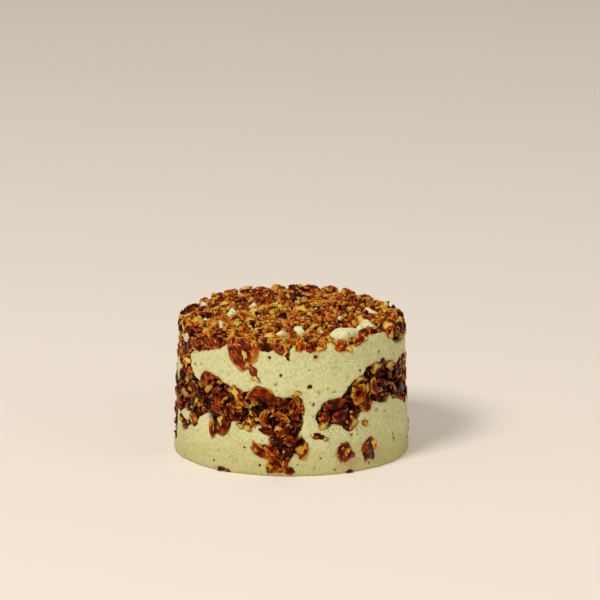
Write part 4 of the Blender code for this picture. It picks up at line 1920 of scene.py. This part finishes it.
TOP_ROWS = (
    (WHOLE, 14, 73, 16, 11, 10, 0.35, 0.3, -3.2), (WHOLE, 29, 71, 14, 10, -20, 0.72, 0.4, -3.2),
    (WHOLE, 1, 76, 10, 8, 40, 0.15, 0.3, -3), (BROKEN, 6, 76, 9, 7, 70, 0.7, 0.6, -3.4),
    (WHOLE, -24, 71, 13, 9, 20, 0.6, 0.4, -3), (CURL, -46, 61, 15, 9, 30, 0.7, 0.4, -3),
    (WHOLE, 43, 63, 13, 9, -35, 0.6, 0.4, -2.6), (WHOLE, -10, 75, 12, 8, -10, 0.65, 0.5, -3),
    (WHOLE, 56, 50, 11, 8, -50, 0.5, 0.4, -2.4), (BROKEN, -35, 67, 11, 7, 0, 0.7, 0.7, -3.2),
    (WHOLE, -56, 50, 14, 9, 50, 0.62, 0.4, -2.8), (WHOLE, -65, 36, 12, 9, 70, 0.55, 0.4, -2.4),
    (WHOLE, 22, -58, 13, 9, 10, 0.62, 0.4, -0.6), (WHOLE, -52, -48, 13, 9, -60, 0.42, 0.3, -0.4),
    (WHOLE, -40, -60, 14, 8, -20, 0.5, 0.3, -0.2), (BROKEN, -16, -62, 12, 5, 4, 0.6, 0.8, -0.4),
    (BROKEN, -24, -46, 9, 6, 30, 0.6, 0.85, -0.8), (CURL, 13, -64, 12, 8, 80, 0.5, 0.6, -0.4),
    (BROKEN, -30, -25, 10, 7, 10, 0.9, 0.95, -1.4), (BROKEN, -39, -34, 9, 6, 60, 0.9, 0.9, -1.4),
    (BROKEN, -18, -30, 9, 6, -30, 0.9, 0.8, -1.4), (BROKEN, 23, 48, 10, 7, 0, 0.9, 0.9, -1.4),
    (BROKEN, -28, 2, 9, 7, 30, 0.9, 0.9, -1.4), (BROKEN, -12, 22, 9, 6, -10, 0.9, 0.8, -1.4),
    (BROKEN, 44, 10, 9, 6, 50, 0.9, 0.7, -1.4), (WHOLE, 5, -28, 13, 9, 10, 0.7, 0.5, -1.4),
    (BROKEN, 18, 22, 9, 6, -40, 0.9, 0.9, -1.4), (BROKEN, -50, 26, 9, 6, 20, 0.9, 0.8, -1.4),
)  # fmt: skip
FLECK_ROWS = (
    (-7.7, 67.6, 4.2), (-5, 74, 3.4), (9, 65.6, 4.6), (13.5, 61.6, 4.4), (18, 63.5, 2.6), (21.4, 61, 3.6),
    (36, 74, 2.8), (49, 85, 3.6), (12.2, 87, 6), (-10.6, 87, 4.2), (10.5, 52.6, 4), (10.5, 44, 2.4),
    (-15, 8, 2.6), (-23, 20, 2.4), (-27, 10, 2.4), (-40, 7, 2.6), (11, 6.5, 2.4), (14, 13, 2.6),
    (21, 4, 2.6), (64, 35, 2.4), (67, 34, 2.4), (-56, 74, 3), (-51, 75, 3.6), (59.5, 17, 4.2),
    (58.5, 21, 3.4), (38, 35, 6), (46, 42.5, 4.4), (9.5, 30, 3), (30, 28, 4), (-37, 15, 2.4), (28, 70, 2.2),
    (49, 12, 2.2), (33, 31, 3.4), (24, 9, 2), (40, 5, 2.2), (52, 40, 2.2), (-30, 74, 1.8), (3, 9, 2),
)  # fmt: skip
LAYER_FEATURES, RIM_FEATURES, TOP_FEATURES = (
    tuple(Feature(*row) for row in rows) for rows in (LAYER_ROWS, RIM_ROWS, TOP_ROWS)
)
FLECKS = tuple(Fleck(*row) for row in FLECK_ROWS)


@dataclass(frozen=True)
class Ground:
    """A surface that pieces are strewn over.

    Attributes:
        draw: Draws a place on it.
        flat: Where a place lies when the surface is laid out flat.
        fits: Whether a piece may lie at a place, by its radius.
        lay: The frame of a piece at a place, by how deep it lies and its spin.
    """

    draw: Callable[[random.Random], tuple[float, float]]
    flat: Callable[[float, float], tuple[float, float]]
    fits: Callable[[float, float, float], bool]
    lay: Callable[[float, float, float, float], Matrix]


SOLID = ((WHOLE, 5), (CURL, 3))


@dataclass
class WalnutPieces:
    """All the walnut pieces that show, strewn over the side of the layer and over the top."""

    chopper: Chopper
    side_finish: bpy.types.Material
    top_finish: bpy.types.Material
    seed: int = 5
    half: float = 0.40
    feature_half: float = 0.42
    lane_half: float = 0.34
    thick_share: float = 0.9
    thickest: float = 7.5
    fleck_sunk: float = 0.16
    fleck_tone: tuple[float, float] = (0.1, 0.7)
    hidden_flecks: int = 34
    hidden_angle: tuple[float, float] = (75, 285)
    hidden_height: tuple[float, float] = (4, 88)
    hidden_size: tuple[float, float] = (1.8, 3.4)
    hidden_margin: float = 4 * MM
    skirt_shade: float = 0.16
    skirt_start: float = 1.5 * MM
    top_margin: float = 2.5 * MM
    side_middle: float = 45 * MM
    side_height: float = 85
    layer_margin: float = 0.25
    skirt_margin: float = 0.3
    spot_margin: float = 0.35
    hollow_margin: float = 0.5
    uneven: tuple[float, float] = (0.85, 1.15)
    tone_spread: tuple[float, float] = (0.75, 0.85)
    # The side's crowds run darker in tone than the top's, partly as painted shade on the side
    side_crowds: tuple[Crowd, ...] = (
        Crowd(4000, (8 * MM, 12 * MM), (3.6 * MM, 5.2 * MM), 0.7, SOLID, (-0.15, 0.5)),
        Crowd(1500, (10 * MM, 15 * MM), (1.0 * MM, 2.4 * MM), 1.12,
              ((WHOLE, 5), (BROKEN, 2.0), (CURL, 3), (RING, 0.3)), (-0.1, 0.68), 0.25, Grade.LARGE),
        Crowd(9000, (6 * MM, 9.4 * MM), (1.3 * MM, 3.1 * MM), 0.8,
              ((WHOLE, 5), (BROKEN, 2.6), (CURL, 3)), (-0.1, 0.78)),
        Crowd(5000, (3.2 * MM, 5.2 * MM), (1.4 * MM, 3.0 * MM), 0.8, ((CRUMB, 1),), (0.0, 1.1)),
    )  # fmt: skip
    top_crowds: tuple[Crowd, ...] = (
        Crowd(3000, (7 * MM, 10 * MM), (1.4 * MM, 2.6 * MM), 0.78, SOLID, (0.0, 0.5)),
        Crowd(2400, (9.5 * MM, 13 * MM), (-0.4 * MM, 1.2 * MM), 1.02,
              ((WHOLE, 5), (BROKEN, 1.8), (CURL, 3)), (0.2, 0.95), 0.45, Grade.LARGE, 1.25),
        Crowd(12000, (5.6 * MM, 8.6 * MM), (-0.8 * MM, 0.9 * MM), 0.9,
              ((WHOLE, 5), (BROKEN, 2.4), (CURL, 3)), (0.2, 1.1), 0.55, Grade.SMALL, 1.3),
        Crowd(9000, (3.0 * MM, 4.8 * MM), (-0.9 * MM, 0.7 * MM), 0.84,
              ((CRUMB, 1),), (0.2, 1.3), 0.6, Grade.SMALL, 1.2),
    )  # fmt: skip

    def build(self) -> list[bpy.types.Object]:
        """Strews and joins the pieces.

        Returns:
            The finished pieces, one for each kind and layer.
        """
        layer = self._piles("layer", "walnut_layer", self.side_finish)
        self._feature(layer, LAYER_FEATURES)
        self._fleck(layer[CRUMB])
        self._strew_side(layer)
        top = self._piles("topping", "walnut_top", self.top_finish)
        self._feature(top, [replace(item, tone=item.tone - self.skirt_shade) for item in RIM_FEATURES])
        self._strew_skirt(top)
        self._strew_top(top)
        return [pile.build() for pile in (*layer.values(), *top.values())]

    def _piles(self, prefix: str, node: str, finish: bpy.types.Material) -> dict[Cut, Pile]:
        """An empty pile for each kind."""
        kinds = (WHOLE, BROKEN, CURL, CRUMB)
        return {cut: Pile(f"{prefix}_{cut.value}_walnuts", node, finish) for cut in kinds}

    def _feature(self, piles: dict[Cut, Pile], features: Sequence[Feature]) -> None:
        """Places the listed pieces on the side.

        Args:
            piles: The piles they belong to.
            features: The pieces.
        """
        rng = random.Random(self.seed)
        for item in features:
            shape = self.chopper.pick(item.cut, rng, Grade.FINE)
            turn = math.radians(item.turn)
            place = side_frame(item.across, item.along * MM, item.sunk * MM, turn)
            deep = min(item.width * self.thick_share, self.thickest)
            size = fitted(shape, item.length, item.width, deep)
            self._pile(piles, item.cut).add(shape, place @ size, item.tone, item.light)

    def _fleck(self, pile: Pile) -> None:
        """Presses the crumbs that lie by themselves into the halva, and a few more round the back.

        Args:
            pile: The crumbs' pile.
        """
        rng = random.Random(self.seed + 4)
        flecks = list(FLECKS)
        while len(flecks) < len(FLECKS) + self.hidden_flecks:
            angle, height = rng.uniform(*self.hidden_angle), rng.uniform(*self.hidden_height)
            if not in_layer(angle, height * MM, -self.hidden_margin):
                flecks.append(Fleck(angle, height, rng.uniform(*self.hidden_size)))
        for fleck in flecks:
            sunk = fleck.size * self.fleck_sunk * MM
            place = side_frame(fleck.angle, fleck.height * MM, sunk, rng.uniform(0, math.tau))
            shape = self.chopper.pick(CRUMB, rng)
            size = stretch(fleck.size * MM, fleck.size * MM, fleck.size * MM)
            pile.add(shape, place @ size, rng.uniform(*self.fleck_tone), rng.random())

    def _strew(
        self,
        piles: dict[Cut, Pile],
        ground: Ground,
        crowd: Crowd,
        room: Strewing,
        rng: random.Random,
    ) -> None:
        """Strews one crowd of pieces.

        Args:
            piles: The piles they belong to.
            ground: What they are strewn over.
            crowd: How many are tried, and what they are like.
            room: Keeps them apart.
            rng: The draw.
        """
        for _ in range(crowd.tries):
            spot = ground.draw(rng)
            length = rng.uniform(*crowd.length)
            radius = length * self.half
            flat = ground.flat(*spot)
            if not ground.fits(*spot, radius) or not room.free(*flat, radius, crowd.share):
                continue
            room.take(*flat, radius)
            place = ground.lay(*spot, rng.uniform(*crowd.sunk), rng.uniform(0, math.tau))
            self._drop(piles, crowd, tipped(place, rng, crowd.tilt), length, rng)

    def _strew_side(self, piles: dict[Cut, Pile]) -> None:
        """Fills the layer's side, from the deepest and largest pieces to the crumbs.

        Args:
            piles: The layer's piles.
        """
        rng = random.Random(self.seed + 1)
        mean_radius = BLOCK.radius(self.side_middle)
        front = Strewing()
        for item in LAYER_FEATURES:
            turn = math.radians(item.turn)
            for step in (-1, 0, 1):
                shift = step * max(item.length - item.width, 0) / 2 * MM
                along = math.radians(item.across) * mean_radius + shift * math.cos(turn)
                up = item.along * MM + shift * math.sin(turn)
                front.take(along, up, item.width * self.lane_half * MM)
        ground = Ground(
            draw=lambda rng: (rng.uniform(-180, 180), rng.uniform(0, self.side_height) * MM),
            flat=lambda angle, height: (math.radians(angle) * mean_radius, height),
            fits=lambda angle, height, radius: in_layer(angle, height, radius * self.layer_margin),
            lay=side_frame,
        )
        for number, crowd in enumerate(self.side_crowds):
            self._strew(piles, ground, crowd, front if number else Strewing(), rng)

    def _strew_skirt(self, piles: dict[Cut, Pile]) -> None:
        """Hangs pieces over the rim, down to the topping's lower edge.

        Args:
            piles: The topping's piles.
        """
        rng = random.Random(self.seed + 2)
        room = Strewing()
        for item in RIM_FEATURES:
            radius = math.sqrt(item.length * item.width) * self.feature_half * MM
            room.take(math.radians(item.across) * BLOCK.top_radius, item.along * MM, radius)
        ground = Ground(
            draw=self._draw_skirt,
            flat=lambda angle, height: (math.radians(angle) * BLOCK.top_radius, height),
            fits=self._fits_skirt,
            lay=side_frame,
        )
        for plain in self.side_crowds[1:]:
            tone = tuple(end - self.skirt_shade for end in plain.tone)
            crowd = replace(plain, tone=tone, tries=plain.tries // 2)
            self._strew(piles, ground, crowd, room, rng)

    def _fits_skirt(self, angle: float, height: float, radius: float) -> bool:
        """Whether a piece may hang at a place over the rim.

        Args:
            angle: The place's angle in degrees.
            height: The place's height.
            radius: The piece's radius.

        Returns:
            Whether it may.
        """
        margin = radius * self.skirt_margin
        return height >= TOP_EDGE.at(angle) + margin and not on_bridge(angle, height, margin)

    def _draw_skirt(self, rng: random.Random) -> tuple[float, float]:
        """Draws a place on the side between the topping's lower edge and the rim.

        Args:
            rng: The draw.

        Returns:
            The place's angle in degrees and its height.
        """
        angle = rng.uniform(-180, 180)
        rim = BLOCK.top(*polar(BLOCK.top_radius, angle, 0).xy) - self.skirt_start
        return angle, rng.uniform(TOP_EDGE.at(angle), rim)

    def _strew_top(self, piles: dict[Cut, Pile]) -> None:
        """Covers the top.

        Args:
            piles: The topping's piles.
        """
        rng = random.Random(self.seed + 3)
        front = Strewing()
        reach = BLOCK.top_radius - self.top_margin
        for item in TOP_FEATURES:
            shape = self.chopper.pick(item.cut, rng, Grade.FINE)
            x, y = item.across * MM, item.along * MM
            place = top_frame(x, y, item.sunk * MM, math.radians(item.turn))
            length, span = item.length * MM, np.ptp(shape.points[:, 1])
            size = stretch(length, item.width * MM / span, length * self.thick_share)
            piles[item.cut].add(shape, place @ size, item.tone, item.light)
            front.take(x, y, math.sqrt(item.length * item.width) * self.feature_half * MM)
        under = Ground(
            draw=lambda rng: tuple(polar(reach * math.sqrt(rng.random()), rng.uniform(-180, 180), 0).xy),
            flat=lambda x, y: (x, y),
            fits=lambda x, y, radius: not any(
                spot.holds(x, y, radius * self.spot_margin / MM) for spot in SPOTS
            ),
            lay=top_frame,
        )
        over = replace(
            under,
            fits=lambda x, y, radius: under.fits(x, y, radius)
            and not any(hollow.holds(x, y, radius * self.hollow_margin / MM) for hollow in HOLLOWS),
        )
        for number, crowd in enumerate(self.top_crowds):
            if number:
                self._strew(piles, over, crowd, front, rng)
            else:
                self._strew(piles, under, crowd, Strewing(), rng)

    def _drop(
        self, piles: dict[Cut, Pile], crowd: Crowd, place: Matrix, length: float, rng: random.Random
    ) -> None:
        """Adds one strewn piece to its pile.

        Args:
            piles: The piles.
            crowd: What the piece is like.
            place: Its frame.
            length: Its length.
            rng: The draw.
        """
        cut = choose(crowd.kinds, rng)
        shape = self.chopper.pick(cut, rng, crowd.grade)
        wide, deep = rng.uniform(*self.uneven), rng.uniform(*self.uneven)
        size = stretch(length, length * wide, length * deep * crowd.thick)
        low, high = crowd.tone
        tone = low + (high - low) * rng.betavariate(*self.tone_spread)
        self._pile(piles, cut).add(shape, place @ size, tone, rng.random())

    @staticmethod
    def _pile(piles: dict[Cut, Pile], cut: Cut) -> Pile:
        """The pile that a kind belongs to: bent and ring-shaped rims lie in one."""
        return piles[CURL if cut in (ARCH, RING) else cut]


@dataclass(frozen=True)
class Part:
    """One part of a large kernel: mm from the kernel's middle, degrees, and its finish."""

    cut: Cut
    x: float
    y: float
    length: float
    width: float
    turn: float
    tone: float
    light: float
    lift: float
    thick: float


@dataclass(frozen=True)
class Kernel:
    """A single large piece that stands for one node: its place in degrees and mm, and its parts."""

    node: str
    name: str
    angle: float
    height: float
    parts: tuple[Part, ...]


KERNELS = (
    Kernel("walnut_quarter", "quarter_kernel", -25.5, 87, (
        Part(WHOLE, 2.6, 3.0, 23, 17, -60, 0.35, 0.1, 0.1, 5.6),
        Part(ARCH, -3.6, 0.6, 30, 15, -53, 0.74, 0.3, 0.6, 7.5),
        Part(ARCH, 9.6, 2.0, 19, 9.0, 74, 0.9, 0.5, 0.6, 6.5),
        Part(WHOLE, 0.6, 7.6, 13, 6.4, -16, 0.66, 0.4, 0.4, 6),
        Part(BROKEN, 3.3, 0.4, 11, 6.6, -62, 0.9, 0.85, 1.4, 6),
    )),
    Kernel("walnut_sliver", "sliver_kernel", -18, 73, (
        Part(WHOLE, -1.6, 3.4, 15, 7.6, -59, 0.7, 0.4, 0.5, 7),
        Part(BROKEN, 1.0, -2.4, 8.0, 4.0, -14, 0.62, 0.9, 0.6, 5),
    )),
    Kernel("walnut_rim_piece", "rim_kernel", -4.5, 91, (
        Part(WHOLE, -2.2, 1.4, 13, 7.5, -58, 0.62, 0.4, 0.0, 7),
        Part(BROKEN, 2.4, -1.6, 10, 6.0, 62, 0.9, 0.75, 0.0, 6),
    )),
    Kernel("walnut_lump_right", "right_kernel", 26.5, 16.5, (
        Part(RING, 0.0, 0.0, 16.5, 15.5, 20, 0.3, 0.2, 0.8, 7),
        Part(WHOLE, 0.3, -0.6, 11.5, 10.0, 30, 0.72, 0.3, 1.6, 6),
        Part(ARCH, -0.4, -4.6, 12, 5.4, 8, 0.6, 0.3, 1.8, 5),
        Part(BROKEN, 0.9, 0.8, 3.4, 2.8, 40, 1.0, 0.9, 3.8, 4),
    )),
    Kernel("walnut_lump_far_right", "far_right_kernel", 40.5, 15, (
        Part(WHOLE, -1.6, 0.2, 19.5, 12.5, 84, 0.28, 0.3, 0.6, 7),
        Part(WHOLE, -2.2, 2.6, 12, 5.0, 80, 0.5, 0.3, 1.4, 5),
        Part(BROKEN, 4.4, 3.0, 11, 6, -62, 0.8, 0.5, 0.6, 7),
        Part(WHOLE, 2.0, -4.0, 10, 7, -70, 0.0, 0.3, 0.4, 6),
    )),
    Kernel("walnut_base_left", "left_foot_kernel", -34, 1.4, (
        Part(WHOLE, -1.8, 0.2, 9.5, 6, 8, 0.3, 0.4, 0.2, 6),
        Part(WHOLE, 3.4, -0.4, 6.5, 4.6, -20, 0.45, 0.4, 0.2, 5),
    )),
    Kernel("walnut_base_right", "right_foot_kernel", 29.5, 1.0, (
        Part(WHOLE, 0.0, 0.0, 9, 4.6, 6, 0.36, 0.4, 0.2, 5),
    )),
    Kernel("walnut_lump_side", "side_kernel", 96, 15, (
        Part(BROKEN, 0.0, 0.0, 15.5, 10.5, 30, 0.5, 0.6, 0.0, 8),
    )),
    Kernel("walnut_lump_back", "back_kernel", 178, 78, (
        Part(ARCH, 0.0, 0.0, 14, 10, -20, 0.5, 0.6, 0.0, 7),
        Part(WHOLE, 0.0, 1.5, 8, 6, 10, 0.2, 0.6, -1.0, 6),
    )),
    Kernel("walnut_lump_back_left", "back_left_kernel", -146, 13, (
        Part(WHOLE, 0.0, 0.0, 14.5, 11, -35, 0.45, 0.6, 0.0, 8),
    )),
)  # fmt: skip


@dataclass
class Kernels:
    """The large single pieces in the halva."""

    chopper: Chopper
    finish: bpy.types.Material
    seed: int = 23
    sunk: float = 1.4 * MM

    def build(self) -> list[bpy.types.Object]:
        """Models each one.

        Returns:
            The finished pieces.
        """
        return [self._kernel(spec, number) for number, spec in enumerate(KERNELS)]

    def _kernel(self, spec: Kernel, number: int) -> bpy.types.Object:
        """Joins one kernel from its parts.

        Args:
            spec: The kernel.
            number: Its number, for the draw.

        Returns:
            The finished piece.
        """
        rng = random.Random(self.seed + number)
        pile = Pile(spec.name, spec.node, self.finish, give=1.0)
        for part in spec.parts:
            shape = self.chopper.pick(part.cut, rng, Grade.FINE)
            height = (spec.height + part.y) * MM
            angle = spec.angle + math.degrees(part.x * MM / BLOCK.radius(height))
            place = side_frame(angle, height, self.sunk - part.lift * MM, math.radians(part.turn))
            size = fitted(shape, part.length, part.width, part.thick)
            pile.add(shape, place @ size, part.tone, part.light)
        obj = pile.build()
        return obj


# ---- Studio ----


@dataclass(frozen=True)
class Lamp:
    """A soft square lamp that looks at the object."""

    name: str
    place: tuple[float, float, float]
    size: float
    power: float
    colour: Colour
    target: tuple[float, float, float] = (0.0, 0.0, 0.05)

    def build(self) -> None:
        """Hangs the lamp, turned to its target."""
        light = bpy.data.lights.new(self.name, "AREA")
        light.size = self.size
        light.energy = self.power
        light.color = self.colour
        lamp = bpy.data.objects.new(self.name, light)
        lamp.location = self.place
        aim = Vector(self.target) - Vector(self.place)
        lamp.rotation_euler = aim.to_track_quat("-Z", "Y").to_euler()
        bpy.context.scene.collection.objects.link(lamp)


@dataclass
class Studio:
    """The floor, the lamps and the camera."""

    floor_size: float = 60.0
    camera_place: tuple[float, float, float] = (0.0063, -2.063, 0.5497)
    camera_pitch: float = 12.0
    field_of_view: float = 12.0
    sensor_width: float = 36.0
    world: Colour = (1.0, 0.94, 0.84)
    world_strength: float = 0.38
    finish: FloorFinish = FloorFinish()
    lamps: tuple[Lamp, ...] = (
        Lamp("key", (-2.0, -2.5, 3.2), 1.3, 132.0, (1.0, 0.96, 0.89)),
        Lamp("fill", (1.6, -1.2, 0.9), 1.4, 5.6, (1.0, 0.92, 0.78)),
    )

    def build(self) -> None:
        """Sets the scene up."""
        floor = Bench.start(bpy.ops.mesh.primitive_plane_add, "floor", size=self.floor_size)
        floor.data.materials.append(self.finish.make())
        for lamp in self.lamps:
            lamp.build()
        world = bpy.data.worlds.new("soft_sky")
        world.use_nodes = True
        background = world.node_tree.nodes["Background"]
        background.inputs["Color"].default_value = (*self.world, 1.0)
        background.inputs["Strength"].default_value = self.world_strength
        bpy.context.scene.world = world
        bpy.context.scene.view_settings.view_transform = "Standard"
        self._camera()

    def _camera(self) -> None:
        """Places the camera a little above the object."""
        camera = bpy.data.cameras.new("camera")
        camera.sensor_width = self.sensor_width
        camera.lens = self.sensor_width / 2 / math.tan(math.radians(self.field_of_view / 2))
        holder = bpy.data.objects.new("camera", camera)
        holder.location = self.camera_place
        holder.rotation_euler = (math.radians(90 - self.camera_pitch), 0.0, 0.0)
        bpy.context.scene.collection.objects.link(holder)
        bpy.context.scene.camera = holder


def cores() -> list[CaramelCore]:
    """The dark cores of the layer and of the topping.

    Returns:
        The cores, to be built.
    """
    caramel = CaramelAndShadeFinish().make()
    layer = WavyDisc(
        name="layer_core",
        reach=-6.5 * MM,
        rim_top=lambda angle: LAYER_TOP.at(angle) + 0.8 * MM,
        rim_bottom=lambda angle: LAYER_BOTTOM.at(angle) - 0.8 * MM,
        hub_top=lambda x, y: 58.5 * MM,
        hub_bottom=37.5 * MM,
        hub_radius=60 * MM,
    )
    top = WavyDisc(
        name="topping_core",
        reach=-4.2 * MM,
        rim_top=lambda angle: BLOCK.top(*polar(BLOCK.top_radius, angle, 0).xy) - 4.5 * MM,
        rim_bottom=lambda angle: TOP_EDGE.at(angle) - 0.5 * MM,
        hub_top=lambda x, y: BLOCK.top(x, y) - 1.8 * MM,
        hub_bottom=90 * MM,
        hub_radius=66 * MM,
    )
    return [
        CaramelCore("layer_core", "walnut_layer", layer, TAILS, caramel),
        CaramelCore("topping_core", "walnut_top", top, (), caramel),
    ]


def main() -> None:
    """Builds the halva, its walnuts and the studio."""
    logging.basicConfig(level=logging.INFO, format="%(message)s")
    pieces = [HalvaBody().build(), *(core.build() for core in cores())]
    chopper = Chopper()
    chopper.stock()
    # The side's and the kernels' copies of the walnut finish are darker than the top's, as painted shade
    nut = NutFinish("side_walnut").make()
    top_nut = NutFinish("top_walnut", roast_and_shade=0.07, gloss=0.08, painted_shade=0.0, flesh=(0.60, 0.37, 0.04)).make()
    kernel_nut = NutFinish("kernel_walnut", roast_and_shade=0.15, gloss=0.6, painted_shade=0.12).make()
    pieces += WalnutPieces(chopper, nut, top_nut).build()
    pieces += Kernels(chopper, kernel_nut).build()
    for piece in pieces:
        LOG.info("%s: %d faces", piece.name, len(piece.data.polygons))
    Studio().build()


if __name__ == "__main__":
    main()
